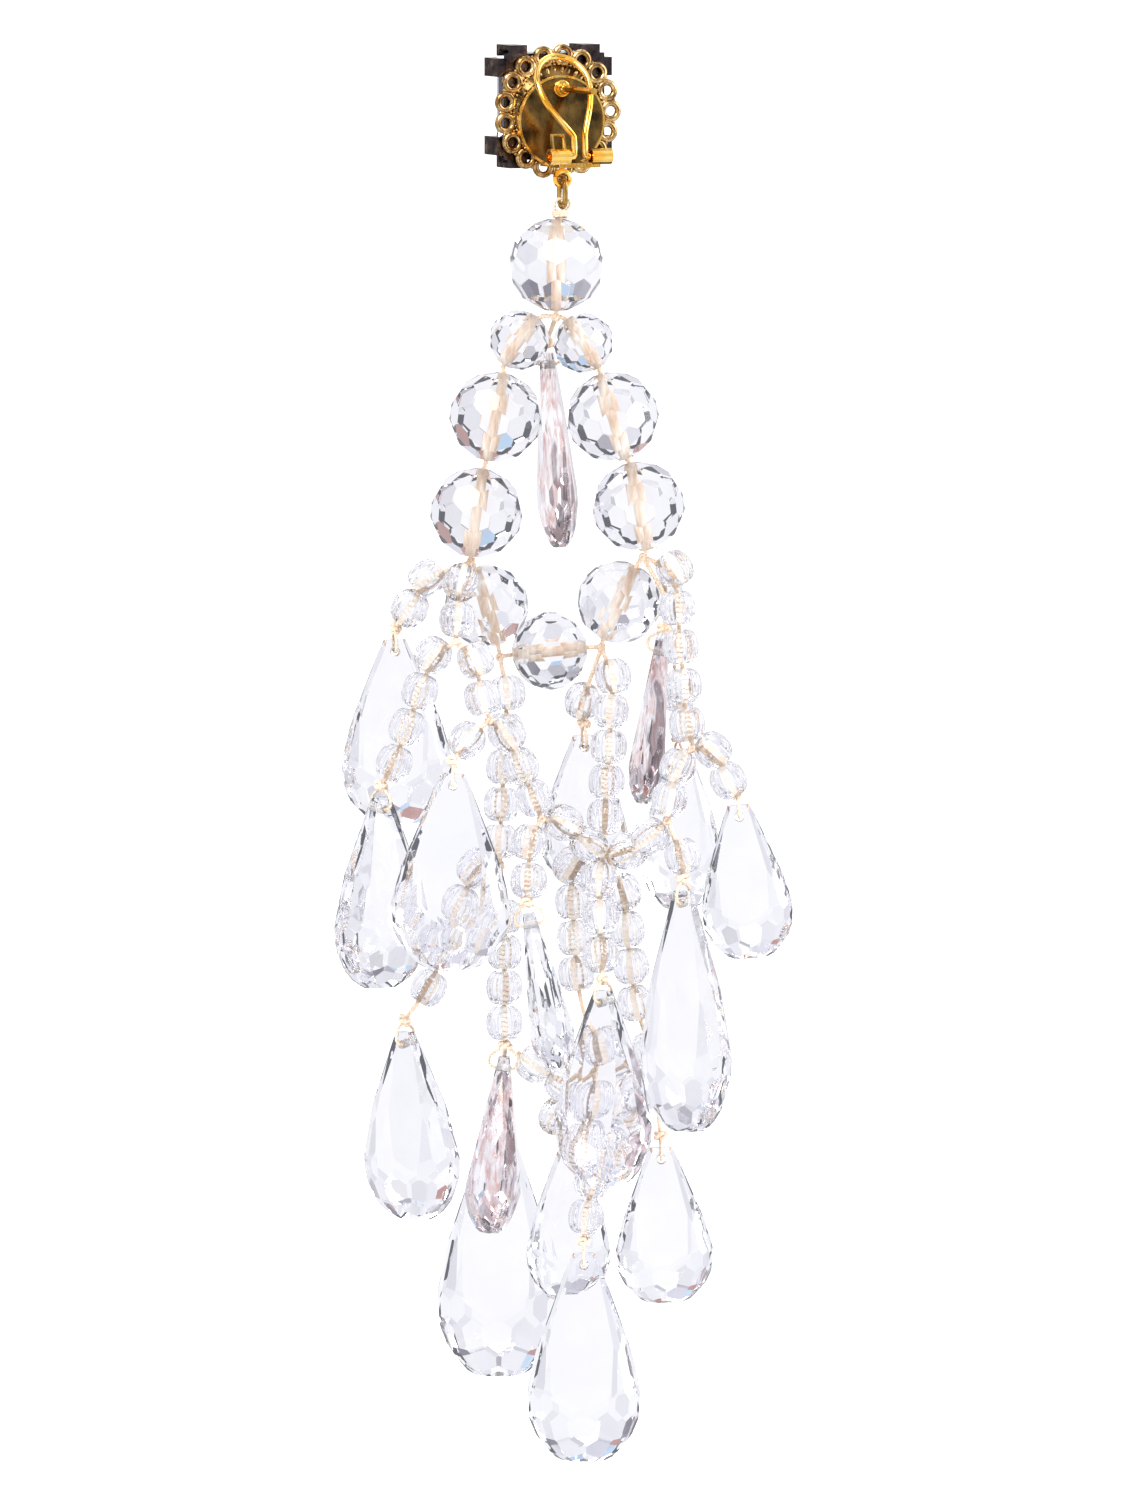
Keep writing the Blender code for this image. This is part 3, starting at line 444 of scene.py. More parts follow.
def threadMaterial(name, look):
    made, tree, shader = newMaterial(name)
    fibres = objectNoise(tree, look["fibreScale"], 5, (1, 1, 0.25))
    ramp = addRamp(tree, fibres.outputs["Fac"], look["tints"])
    # painted glow in the thread's own colour, where the look gives a glow
    tree.links.new(ramp.outputs["Color"], shader.inputs["Emission Color"])
    shader.inputs["Emission Strength"].default_value = look["glow"]
    tree.links.new(ramp.outputs["Color"], shader.inputs["Base Color"])
    shader.inputs["Roughness"].default_value = 0.75
    shader.inputs["Sheen Weight"].default_value = 0.3
    addBump(tree, shader, fibres.outputs["Fac"], 0.5, 0.00006)
    return made


plateCentre = {"z": -0.0043, "faceRadius": 0.0057, "thickness": 0.0008}
dropCrystal = crystalMaterial("dropCrystal", crystalLook)
beadCrystal = crystalMaterial("beadCrystal", {**crystalLook, "ior": 1.47, "tintScale": 240})
melonCrystal = crystalMaterial("melonCrystal", {**crystalLook, "ior": 1.47, "tintScale": 500})
# painted reflections and glints: rose and near-black streaks laid into the clear glass
glintStreakTints = [
    (0.46, (0.98, 0.97, 0.98)),
    (0.51, (0.66, 0.38, 0.35)),
    (0.55, (0.95, 0.93, 0.94)),
    (0.60, (0.16, 0.11, 0.12)),
]
glintStreakLook = {**crystalLook, "tintScale": 400, "tintStretch": (1, 1, 0.10), "tints": glintStreakTints}
glintStreakCrystal = crystalMaterial("glintStreakCrystal", glintStreakLook)  # painted reflections: the dark and rose streaks stand in for reflections and glints in drops seen edge on
smokeStone = crystalMaterial(
    "smokeStone",
    {**crystalLook, "tints": [(0.3, (0.50, 0.46, 0.56)), (0.7, (0.68, 0.65, 0.72))], "ior": 1.5},
)
frostedBore = frostedMaterial("frostedBore", frostedLook)
filledBore = frostedMaterial("filledBore", filledLook)
brightGold = metalMaterial("brightGold", brightGoldLook)
linkGold = metalMaterial("linkGold", linkGoldLook)
oldGold = metalMaterial("oldGold", oldGoldLook)
darkBronze = metalMaterial("darkBronze", bronzeLook)
gunmetal = metalMaterial("gunmetal", gunmetalLook)
clipBackPlating = plateMaterial()
creamThread = threadMaterial("creamThread", threadLook)
creamCore = threadMaterial("creamCore", coreLook)
print("materials made")


# the net: its knots, strings and drops
knots = {
    "split": (-0.9, 17.1, 0.0),
    "left_shoulder": (-11.9, 49.0, -0.6),
    "right_shoulder": (10.5, 48.4, -0.7),
    "left_hem": (-8.2, 61.8, -4.4),
    "right_hem": (5.1, 60.5, -4.4),
    "left_fork": (-13.7, 58.9, 8.2),
    "inner_fork": (-9.5, 69.0, 9.0),
    "lower_fork": (-2.7, 81.9, 7.4),
    "centre_fork": (5.5, 86.6, 1.5),
    "right_fork": (16.9, 73.1, 3.0),
    "right_low_fork": (13.6, 82.4, 4.8),
    "side_fork": (-8.1, 88.8, -0.4),
    "swag_fork": (5.1, 117.2, -1.4),
    "back_fork": (2.8, 118.6, -1.2),
}

# diameter; across, down, toward; the hole's lean and the tip of its lower end
bigBeads = {
    "bead_top": (12.2, (-0.8, 10.2, 0.0), 0, 0),
    "bead_left_1": (7.8, (-5.6, 20.0, 0.0), -35.5, 0),
    "bead_left_2": (11.8, (-8.7, 30.0, 0.0), -11.7, 0),
    "bead_left_3": (11.8, (-11.2, 42.5, 0.0), -8.9, 0),
    "bead_left_4": (10.8, (-9.9, 54.9, -2.4), 16, -16),
    "bead_right_1": (7.8, (2.7, 20.4, 0.0), 33, 0),
    "bead_right_2": (11.8, (6.5, 30.0, 0.0), 17, 0),
    "bead_right_3": (11.8, (9.9, 41.7, 0.0), 11, 0),
    "bead_right_4": (10.8, (7.4, 54.4, -2.4), -24, -16),
    "bead_bottom": (10.0, (-1.7, 61.1, -6.1), 95.6, 0),
}

# across, top, toward; length, width, thickness; turn about its length; lean
drops = {
    "drop_middle": ((-2.0, 22.0, -5.4), (25.8, 9.5, 5.4), 85, 4),
    "drop_left_upper": ((-21.9, 59.2, -1.5), (24.5, 14.4, 7.2), 8, 1),
    "drop_left_middle": ((-23.6, 79.3, 5.2), (25.2, 14.4, 7.2), 40, 0),
    "drop_front_left": ((-14.2, 75.6, 11.6), (25.9, 15.2, 7.4), 0, -1),
    "drop_slender": ((-4.4, 94.0, 10.4), (21.0, 13.6, 6.0), 90, 11),
    "drop_inner_left": ((-7.6, 113.7, 1.0), (23.4, 14.2, 7.4), 88, -5),
    "drop_front_lower": ((-20.6, 110.8, -2.4), (25.0, 14.4, 7.2), -36, 3),
    "drop_back_left": ((-8.4, 124.2, -11.6), (33.6, 16.0, 8.4), 0, 0),
    "drop_back_low": ((0.8, 126.8, -6.3), (20.0, 11.0, 5.6), 12, 0),
    "drop_centre": ((5.3, 104.3, 7.7), (25.9, 14.4, 7.2), -36, 0),
    "drop_lowest": ((2.8, 139.6, 0.4), (27.8, 14.7, 7.6), 0, 0),
    "drop_back_right": ((12.9, 126.4, -6.0), (20.8, 12.6, 5.8), 0, 2),
    "drop_right_outer": ((22.9, 80.6, 1.6), (20.4, 11.8, 5.6), 0, 5),
    "drop_right_long": ((15.7, 91.4, 6.4), (31.9, 12.6, 7.0), -28, 1),
    "drop_back_outer": ((15.2, 74.2, -8.6), (21.4, 10.8, 5.6), 14, 2),
    "drop_back_hem": ((2.8, 72.3, -8.2), (19.8, 11.6, 5.6), 10, 0),
    "drop_right_middle": ((13.0, 59.3, -1.4), (21.8, 9.4, 4.9), 90, -7),
}

# a knot or drop by name, a bare point, or a row of small beads: how many, the first and the last
strings = {
    "string_middle": ["split", (-1.5, 18.9, -3.6), "drop_middle"],
    "string_left_outer": ["left_shoulder", [2, (-17.6, 50.9, 2.4), (-19.9, 55.0, 0.6)], "drop_left_upper"],
    "string_left_front": [
        "left_shoulder", [2, (-13.2, 51.2, 6.2), (-13.7, 55.9, 7.4)],
        "left_fork", [4, (-16.8, 60.6, 7.0), (-21.9, 74.8, 5.4)], "drop_left_middle",
    ],
    "string_left_inner": [
        "left_fork", [2, (-11.3, 61.1, 8.6), (-10.4, 66.0, 8.9)],
        "inner_fork", [3, (-7.2, 70.8, 8.6), (-3.7, 79.2, 7.4)],
        "lower_fork", [2, (-4.3, 84.9, 8.4), (-4.4, 89.8, 9.5)], "drop_slender",
    ],
    "string_front_left": ["inner_fork", [1, (-12.4, 71.4, 10.3)], "drop_front_left"],
    "string_centre_left": ["lower_fork", [2, (0.2, 82.6, 6.0), (3.4, 85.6, 3.6)], "centre_fork"],
    "string_inner_left": [
        "left_hem", [5, (-7.2, 66.4, -3.2), (-8.2, 85.6, -0.4)],
        "side_fork", [4, (-7.6, 95.4, 0.2), (-7.6, 109.3, 0.8)], "drop_inner_left",
    ],
    "string_front_lower": ["side_fork", [4, (-11.4, 90.8, -1.0), (-17.5, 105.0, -2.2)], "drop_front_lower"],
    "string_back_left": ["drop_inner_left", (-7.8, 116.0, -7.0), "drop_back_left"],
    "string_swag": [
        (-5.9, 113.3, -0.7), [2, (-3.7, 114.9, -0.4), (0.1, 117.5, -0.8)], "back_fork", "swag_fork",
    ],
    "string_back_low": ["back_fork", [1, (-0.8, 122.2, -4.6)], "drop_back_low"],
    "string_centre": [
        "right_hem", [5, (6.6, 64.2, -3.2), (5.5, 82.4, -0.6)],
        "centre_fork", [3, (4.8, 90.4, 3.0), (5.0, 99.8, 5.8)], "drop_centre",
    ],
    "string_back_centre": [
        "centre_fork", [4, (1.1, 88.9, -1.4), (1.8, 103.1, -2.0)], (2.8, 109.0, -1.6),
        [1, (5.8, 113.8, -1.0)], "swag_fork", [4, (5.5, 120.6, -0.9), (3.1, 134.9, 0.1)], "drop_lowest",
    ],
    "string_back_right": [
        "centre_fork", [4, (7.9, 92.4, -1.8), (9.5, 107.2, -4.2)],
        [2, (11.5, 113.4, -5.4), (12.3, 119.0, -5.8)], "drop_back_right",
    ],
    "string_right_outer": [
        "right_shoulder", [5, (14.6, 49.8, 1.6), (16.2, 70.0, 2.6)],
        "right_fork", [2, (19.6, 73.4, 2.6), (21.6, 77.4, 2.0)], "drop_right_outer",
    ],
    "string_right_inner": [
        "right_fork", [2, (15.0, 75.4, 4.4), (13.9, 79.6, 5.0)],
        "right_low_fork", [1, (15.6, 87.0, 5.4)], "drop_right_long",
    ],
    "string_centre_right": ["right_low_fork", [2, (11.4, 84.4, 5.8), (8.6, 86.6, 3.1)], "centre_fork"],
    "string_back_outer": [
        "right_shoulder", (12.8, 49.6, -4.0), [3, (13.6, 54.3, -8.4), (15.2, 67.0, -8.8)], "drop_back_outer",
    ],
    "string_back_hem": ["right_hem", [1, (2.6, 67.8, -7.8)], "drop_back_hem"],
    "string_right_middle": ["right_shoulder", (13.9, 54.3, -1.2), "drop_right_middle"],
}


# teardrops
dropCut = {
    "topHalfWidth": 1.3,
    "topHalfThickness": 1.1,
    "belly": 0.68,
    "swell": 0.3,  # how full the upper part is
    "table": 0.90,  # the flat table's height, as a share of half the thickness
    "rows": (
        (0.06, 8, 0.5),
        (0.30, 8, 0.0),
        (0.55, 16, 0.5),
        (0.71, 14, 0.0),
        (0.82, 14, 0.5),
        (0.91, 10, 0.0),
        (0.97, 6, 0.5),
    ),
    # drops that take the painted reflection streaks
    "glintStreaked": ("drop_middle", "drop_inner_left", "drop_right_middle"),
    "holeDown": 1.6,
    "holeRadius": 0.6,
}


def dropHalf(share, top, most):
    if share < dropCut["belly"]:
        along = share / dropCut["belly"]
        swell = dropCut["swell"]
        return top + (most - top) * along * (1 + swell - swell * along * along)
    fall = (share - dropCut["belly"]) / (1 - dropCut["belly"])
    return most * math.sqrt(max(0.0, 1 - fall * fall))


def dropSurface(size, share, angle):
    length, width, thickness = size
    return Vector((
        dropHalf(share, dropCut["topHalfWidth"], width / 2) * math.cos(angle),
        dropHalf(share, dropCut["topHalfThickness"], thickness / 2) * math.sin(angle),
        -share * length,
    ))


def dropPlanes(size):
    planes = [(Vector((0, 0, 1)), 0.0), (Vector((0, 0, -1)), size[0] * 0.985)]
    small = 1e-4
    for share, facets, turn in dropCut["rows"]:
        for step in range(facets):
            angle = math.tau * (step + turn) / facets
            here = dropSurface(size, share, angle)
            around = dropSurface(size, share, angle + small) - here
            along = dropSurface(size, share + small, angle) - here
            normal = along.cross(around).normalized()
            if normal.dot(Vector((here.x, here.y, 0))) < 0:
                normal = -normal
            planes.append((normal, normal.dot(here)))
    slope = (size[2] / 2 - dropCut["topHalfThickness"]) / (size[0] * dropCut["belly"])
    for side in (-1, 1):
        normal = Vector((0, side, slope)).normalized()
        at = Vector((0, side * size[2] / 2 * dropCut["table"], -size[0] * dropCut["belly"]))
        planes.append((normal, normal.dot(at)))
    return planes


def dropMatrix(name):
    top, size, turn, lean = drops[name]
    return (
        Matrix.Translation(netPoint(*top))
        @ Matrix.Rotation(math.radians(-lean), 4, "Y")
        @ Matrix.Rotation(math.radians(turn), 4, "Z")
    )


for name, (top, size, turn, lean) in drops.items():
    gem = cutGem(dropPlanes(size), size[0] * 3)
    reach = Vector((0, size[2], 0))
    hole = Vector((0, 0, -dropCut["holeDown"]))
    gem = drill(gem, hole - reach, hole + reach, dropCut["holeRadius"])
    gem.transform(dropMatrix(name))
    crystal = glintStreakCrystal if name in dropCut["glintStreaked"] else dropCrystal
    addPiece(f"{name}_cut", gem, [crystal, frostedBore], "drop", [name], smooth=False)
print("teardrops cut")


# round beads of the ring
beadCut = {
    "rows": ((62, 8, 0.0), (34, 10, 0.5), (6, 10, 0.0), (-22, 10, 0.5), (-48, 10, 0.0), (-70, 6, 0.5)),
    "poles": 0.975,
    "facets": 0.968,
    "holeRadius": 0.66,
}


def beadAxis(name):
    diameter, centre, lean, tip = bigBeads[name]
    lean = math.radians(lean)
    tip = math.radians(tip)
    return Vector((math.sin(lean) * math.cos(tip), -math.sin(tip), -math.cos(lean) * math.cos(tip)))


for name, (diameter, centre, lean, tip) in bigBeads.items():
    radius = diameter / 2
    planes = [(Vector((0, 0, side)), radius * beadCut["poles"]) for side in (1, -1)]
    for latitude, facets, turn in beadCut["rows"]:
        for step in range(facets):
            angle = math.tau * (step + turn) / facets
            tilt = math.radians(latitude)
            flat = math.cos(tilt)
            normal = Vector((math.cos(angle) * flat, math.sin(angle) * flat, math.sin(tilt)))
            planes.append((normal, radius * beadCut["facets"]))
    ends = Vector((0, 0, diameter))
    gem = drill(cutGem(planes, diameter * 1.5), -ends, ends, beadCut["holeRadius"])
    turn = beadAxis(name).to_track_quat("Z", "Y").to_matrix().to_4x4()
    gem.transform(Matrix.Translation(netPoint(*centre)) @ turn)
    addPiece(f"{name}_cut", gem, [beadCrystal, filledBore], "drop", [name], smooth=False)
print("round beads cut")


# strings of small fluted beads
melonBead = {
    "length": 4.5,
    "diameter": 4.9,
    "flutes": 16,
    "fluteDepth": 0.07,
    "around": 4,  # points to each flute
    "rows": 12,
    "poleRadius": 0.7,
    "coreRadius": 0.42,  # the cord fills the bead's bore
    "coreLength": 4.1,
}
threadSize = {"radius": 0.35, "loop": 0.25, "lobes": 3, "lobeDepth": 0.18, "pitch": 1.5, "step": 0.24}
knotSize = {
    "radius": 0.46, "thread": 0.22, "rise": 1.5, "dropScale": 1.9,
    "steps": 30, "reach": 0.62, "reachSwing": 0.28, "lift": 0.8,
}
# coil on the top bead
collar = {"turns": 3, "turnSteps": 16, "radius": 0.85, "height": 0.8, "above": 0.35, "thread": 0.27}


def melonInto(bm, centre, way, number):
    turn = way.to_track_quat("Z", "Y").to_matrix()
    flutes = melonBead["flutes"]
    sides = flutes * melonBead["around"]
    half = melonBead["length"] / 2
    chance = random.Random(number)
    size = chance.uniform(0.96, 1.0)
    spin = chance.uniform(0, math.tau)
    rings = []
    for row in range(melonBead["rows"] + 1):
        latitude = math.pi * (row / melonBead["rows"] - 0.5)
        height = half * math.sin(latitude)
        belly = abs(math.cos(latitude)) ** 0.75
        radius = melonBead["poleRadius"] + (melonBead["diameter"] / 2 - melonBead["poleRadius"]) * belly
        ring = []
        for side in range(sides):
            angle = math.tau * side / sides
            groove = 1 - abs(math.sin(angle * flutes / 2))
            reach = radius * size * (1 - melonBead["fluteDepth"] * groove * belly)
            spot = Vector((reach * math.cos(angle + spin), reach * math.sin(angle + spin), height))
            ring.append(bm.verts.new(centre + turn @ spot))
        rings.append(ring)
    for one, two in zip(rings, rings[1:]):
        for side in range(sides):
            other = (side + 1) % sides
            bm.faces.new((one[side], one[other], two[other], two[side]))
        for side in range(0, sides, melonBead["around"]):
            bm.edges.get((one[side], two[side])).smooth = False  # the grooves stay sharp
    bm.faces.new(reversed(rings[0]))
    bm.faces.new(rings[-1])


def threadInto(bm, points, radius):
    # three plies laid together: a lobed outline that turns along the path
    path = evenPath(roundedPath(points), threadSize["step"])
    sides = threadSize["lobes"] * 3

    def section(step, count):
        turn = math.tau * step * threadSize["step"] / threadSize["pitch"]
        outline = []
        for side in range(sides):
            angle = math.tau * side / sides
            reach = radius * (1 - threadSize["lobeDepth"] * (1 - math.cos(angle * threadSize["lobes"])))
            outline.append((reach * math.cos(angle + turn), reach * math.sin(angle + turn)))
        return outline

    sweep(bm, path, section)


def knotInto(bm, centre, way, scale=1.0):
    # a trefoil pulled tight round the thread
    turn = way.to_track_quat("Z", "Y").to_matrix()
    radius = knotSize["radius"] * scale
    points = []
    for step in range(knotSize["steps"]):
        angle = math.tau * step / knotSize["steps"]
        reach = radius * (knotSize["reach"] + knotSize["reachSwing"] * math.cos(3 * angle))
        height = knotSize["radius"] * knotSize["lift"] * math.sin(3 * angle)
        spot = Vector((reach * math.cos(2 * angle), reach * math.sin(2 * angle), height))
        points.append(centre + turn @ spot)
    sweep(bm, points, roundSection(knotSize["thread"] * (0.6 + 0.4 * scale), 7), closed=True)


def dropLoop(name):
    top, size, turn, lean = drops[name]
    half = dropHalf(dropCut["holeDown"] / size[0], dropCut["topHalfThickness"], size[2] / 2)
    side = half + 0.3 + threadSize["loop"]
    hole = -dropCut["holeDown"]
    rise = knotSize["rise"]
    path = (
        (0, rise), (-side * 0.45, rise * 0.62), (-side, rise * 0.05), (-side, hole),
        (side, hole), (side, rise * 0.05), (side * 0.5, rise * 0.5), (0, rise),
    )
    place = dropMatrix(name)
    return [place @ Vector((0, depth, height)) for depth, height in path]


def routeStops(route):
    stops = []
    for place, item in enumerate(route):
        inside = 0 < place < len(route) - 1
        if isinstance(item, list):
            first = netPoint(*item[1])
            last = netPoint(*item[-1])
            stops += [("bead", first.lerp(last, k / max(item[0] - 1, 1))) for k in range(item[0])]
        elif isinstance(item, tuple):
            stops.append(("thread", netPoint(*item)))
        elif item in knots:
            stops.append(("knot" if inside else "end", netPoint(*knots[item])))
        else:
            top = dropMatrix(item) @ Vector((0, 0, knotSize["rise"]))
            stops.append(("knot" if place else "end", top))
    return stops


beadNumber = 0
for name, route in strings.items():
    stops = routeStops(route)
    beads = bmesh.new()
    thread = bmesh.new()
    threadInto(thread, [point for _, point in stops], threadSize["radius"])
    if route[-1] in drops:
        threadInto(thread, dropLoop(route[-1]), threadSize["loop"])
    for place, (kind, point) in enumerate(stops):
        before = stops[max(place - 1, 0)][1]
        after = stops[min(place + 1, len(stops) - 1)][1]
        way = (after - before).normalized()
        if kind == "bead":
            beadNumber += 1
            melonInto(beads, point, way, beadNumber)
            half = way * melonBead["coreLength"] / 2
            before = len(thread.faces)
            threadInto(thread, [point - half, point + half], melonBead["coreRadius"])
            for face in list(thread.faces)[before:]:
                face.material_index = 1
        elif kind == "knot":
            last = place == len(stops) - 1
            knotInto(thread, point, way, knotSize["dropScale"] if last else 1.0)
    addPiece(f"{name}_thread", thread, [creamThread, creamCore], "drop", [name])
    if len(beads.verts):
        addPiece(f"{name}_beads", beads, melonCrystal, "drop", [name])
    else:
        beads.free()
print("strings threaded,", beadNumber, "small beads")


# the ring's own threads
linkSize = {
    "radius": 1.0, "straight": 1.7, "wire": 0.36, "bendSteps": 12,
    "toKnot": 1.25, "loopHalf": 1.1,
}


def throughBead(name, clear=0.15):
    diameter, centre = bigBeads[name][:2]
    reach = beadAxis(name) * (diameter / 2 + clear)
    return [netPoint(*centre) - reach, netPoint(*centre) + reach]


def ringThreads():
    # one thread down each side, and a small loop over the link that meets them at the top knot
    below = linkSize["straight"] + linkSize["radius"] + linkSize["toKnot"]
    knot = netPoint(bigBeads["bead_top"][1][0] * 0.4, below, 0)
    low = linkSize["straight"] - 0.1
    half = linkSize["loopHalf"]
    loop = [
        knot, knot + Vector((half * 0.8, 0, 0.8)), netPoint(half, low + 0.8, 0), netPoint(half * 0.7, low, 0),
        netPoint(-half * 0.7, low, 0), netPoint(-half, low + 0.8, 0),
        knot + Vector((-half * 0.7, 0, 0.7)), knot,
    ]
    left = [knot] + throughBead("bead_top")
    right = []
    tied = {"left": [(knot, Vector((0, 0, -1)))], "right": []}
    for side, path in (("left", left), ("right", right)):
        path.append(netPoint(*knots["split"]))
        for number in (1, 2, 3):
            path += throughBead(f"bead_{side}_{number}")
        path.append(netPoint(*knots[f"{side}_shoulder"]))
        path += throughBead(f"bead_{side}_4")
        path.append(netPoint(*knots[f"{side}_hem"]))
        for knotName in (f"{side}_shoulder", f"{side}_hem"):
            tied[side].append((netPoint(*knots[knotName]), Vector((0, 0, -1))))
    tied["left"].append((netPoint(*knots["split"]), Vector((0, 0, -1))))
    left += throughBead("bead_bottom", 0.45) + [netPoint(*knots["right_hem"])]
    return {"left": (left, loop, tied["left"]), "right": (right, None, tied["right"])}


for side, (path, loop, tied) in ringThreads().items():
    thread = bmesh.new()
    threadInto(thread, path, threadSize["radius"])
    if loop:
        threadInto(thread, loop, threadSize["loop"])
    for point, way in tied:
        knotInto(thread, point, way)
    if loop:
        steps = collar["turns"] * collar["turnSteps"]
        coil = []
        for step in range(steps + 1):
            angle = math.tau * step / collar["turnSteps"]
            rise = collar["height"] * (step / steps - 0.5) + collar["above"]
            spot = Vector((math.cos(angle), math.sin(angle), 0)) * collar["radius"]
            coil.append(path[0] + spot + Vector((0, 0, rise)))
        threadInto(thread, coil, collar["thread"])
    addPiece(f"ring_thread_{side}", thread, creamThread, "drop", [f"main_thread_{side}"])
print("ring threaded")


# link on the eye
linkPath = []
for centre, start in ((0.0, 0.0), (-linkSize["straight"], math.pi)):
    for step in range(linkSize["bendSteps"] + 1):
        angle = start + math.pi * step / linkSize["bendSteps"]
        linkPath.append(Vector((0, math.cos(angle), centre + math.sin(angle))) * linkSize["radius"])
link = bmesh.new()
sweep(link, linkPath, roundSection(linkSize["wire"]), closed=True)
linkPlace = Matrix.Translation(jointPlaces["drop_swing"]) @ Matrix.Scale(mm, 4)
addPiece("drop_link_wire", link, linkGold, "drop", ["drop_link"], place=linkPlace)


# omega loop of the clip
omegaLoop = {
    "wire": 0.42, "legHalf": 0.75, "halfWidth": 3.6, "length": 12.8, "lean": 5.3,
    "neck": 0.20, "widest": 0.74, "pinStart": 1.3, "pinEnd": 3.88,
    "aside": 1.2, "asideFrom": 0.2, "asideOver": 0.5,
}


def omegaHalfWidth(share):
    leg = omegaLoop["legHalf"]
    if share < omegaLoop["neck"]:
        return leg
    if share < omegaLoop["widest"]:
        rise = (share - omegaLoop["neck"]) / (omegaLoop["widest"] - omegaLoop["neck"])
        return leg + (omegaLoop["halfWidth"] - leg) * math.sin(rise * math.pi / 2) ** 1.2
    fall = (share - omegaLoop["widest"]) / (1 - omegaLoop["widest"])
    return omegaLoop["halfWidth"] * math.sqrt(max(0.0, 1 - fall * fall))


def omegaPoint(share, side):
    back = omegaLoop["lean"] * share**2.2
    reached = min(1.0, max(0.0, (share - omegaLoop["asideFrom"]) / omegaLoop["asideOver"]))
    swing = math.sin(reached * math.pi / 2)
    across = side * omegaHalfWidth(share) - omegaLoop["aside"] * swing
    return Vector((across, back, omegaLoop["length"] * share))


shares = [1 - (1 - step / 30) ** 1.6 for step in range(30)]
rightLeg = [omegaPoint(share, 1) for share in shares]
leftLeg = [omegaPoint(share, -1) for share in reversed(shares)]
rightPin = [Vector((omegaLoop[place], 0, 0)) for place in ("pinEnd", "pinStart")]
leftPin = [Vector((-omegaLoop[place], 0, 0)) for place in ("pinStart", "pinEnd")]
omegaPath = rightPin + rightLeg + [omegaPoint(1, 1)] + leftLeg + leftPin
omega = bmesh.new()
sweep(omega, roundedPath(omegaPath, 1), roundSection(omegaLoop["wire"], 14))
omegaPlace = Matrix.Translation(jointPlaces["clip_hinge"]) @ Matrix.Scale(mm, 4)
addPiece("clip_loop_wire", omega, brightGold, "clip", ["clip_loop"], place=omegaPlace)
print("clip made")


# filigree back
filigree = {
    "scallops": 17,
    "ring": 7.41,
    "eyeRadius": 1.05,
    "eyeWire": 0.43,
    "discRadius": 6.3,
    "discHalf": 0.26,
    "discSides": 68,
    "beadRadius": 0.25,  # between the scallops
    "beadOut": 0.55,
    "beadIn": 0.85,
    "petalRing": 5.45,
    "petal": (0.34, (2.1, 1.0, 1.0)),
    "bud": (0.30, (2.0, 1.0, 0.8)),
    "grains": 68,
    "grainRing": 6.2,
    "grainRadius": 0.17,
}


def ballInto(bm, centre, radius, scale=(1, 1, 1), turn=0.0):
    place = Matrix.Translation(centre) @ Matrix.Rotation(turn, 4, "Y") @ Matrix.Diagonal((*scale, 1))
    bmesh.ops.create_uvsphere(bm, u_segments=12, v_segments=8, radius=radius, matrix=place)


def torusInto(bm, centre, radius, wire, steps=20):
    angles = [math.tau * step / steps for step in range(steps)]
    points = [centre + Vector((math.cos(angle), 0, math.sin(angle))) * radius for angle in angles]
    sweep(bm, points, roundSection(wire, 8), closed=True)


low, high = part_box("filigree_back")
filigreeCentre = (low + high) / 2
lace = bmesh.new()
place = Matrix.Rotation(math.pi / 2, 4, "X")
bmesh.ops.create_cone(
    lace, cap_ends=True, segments=filigree["discSides"], radius1=filigree["discRadius"],
    radius2=filigree["discRadius"], depth=filigree["discHalf"] * 2, matrix=place,
)
for face in lace.faces:
    face.material_index = 1
for number in range(filigree["grains"]):
    angle = math.tau * number / filigree["grains"]
    out = Vector((math.cos(angle), 0, math.sin(angle)))
    spot = out * filigree["grainRing"] - Vector((0, filigree["discHalf"], 0))
    ballInto(lace, spot, filigree["grainRadius"])
for number in range(filigree["scallops"]):
    angle = math.tau * number / filigree["scallops"]
    between = angle + math.pi / filigree["scallops"]
    out = Vector((math.cos(angle), 0, math.sin(angle)))
    mid = Vector((math.cos(between), 0, math.sin(between)))
    torusInto(lace, out * filigree["ring"], filigree["eyeRadius"], filigree["eyeWire"])
    ballInto(lace, mid * (filigree["ring"] + filigree["beadOut"]), filigree["beadRadius"])
    ballInto(lace, mid * (filigree["ring"] - filigree["beadIn"]), filigree["beadRadius"])
    ballInto(lace, out * filigree["petalRing"], *filigree["petal"], -angle)
    ballInto(lace, mid * filigree["petalRing"], *filigree["bud"], -between)
filigreePlace = Matrix.Translation(filigreeCentre) @ Matrix.Scale(mm, 4)
laceMetals = [oldGold, darkBronze]
addPiece("filigree_lace", lace, laceMetals, "head", ["filigree_back"], place=filigreePlace)

# bright edge of the plate and the collar at the post's foot
plateTrim = {
    "edgeRadius": 5.88, "edgeWire": 0.16, "ballRadius": 0.72,
    "collarRadius": 0.95, "collarWire": 0.2, "collarStand": 0.1, "ballStand": 0.85,
}
low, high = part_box("clip_back")
trim = bmesh.new()
plateBack = (high.y - plateCentre["thickness"]) / mm
edgeCentre = Vector((0, plateBack, plateCentre["z"] / mm))
torusInto(trim, edgeCentre, plateTrim["edgeRadius"], plateTrim["edgeWire"], 72)
collarCentre = Vector((0, plateBack - plateTrim["collarStand"], 0))
torusInto(trim, collarCentre, plateTrim["collarRadius"], plateTrim["collarWire"], 24)
ballInto(trim, Vector((0, plateBack - plateTrim["ballStand"], 0)), plateTrim["ballRadius"])
addPiece("plate_trim", trim, brightGold, "head", place=Matrix.Scale(mm, 4))

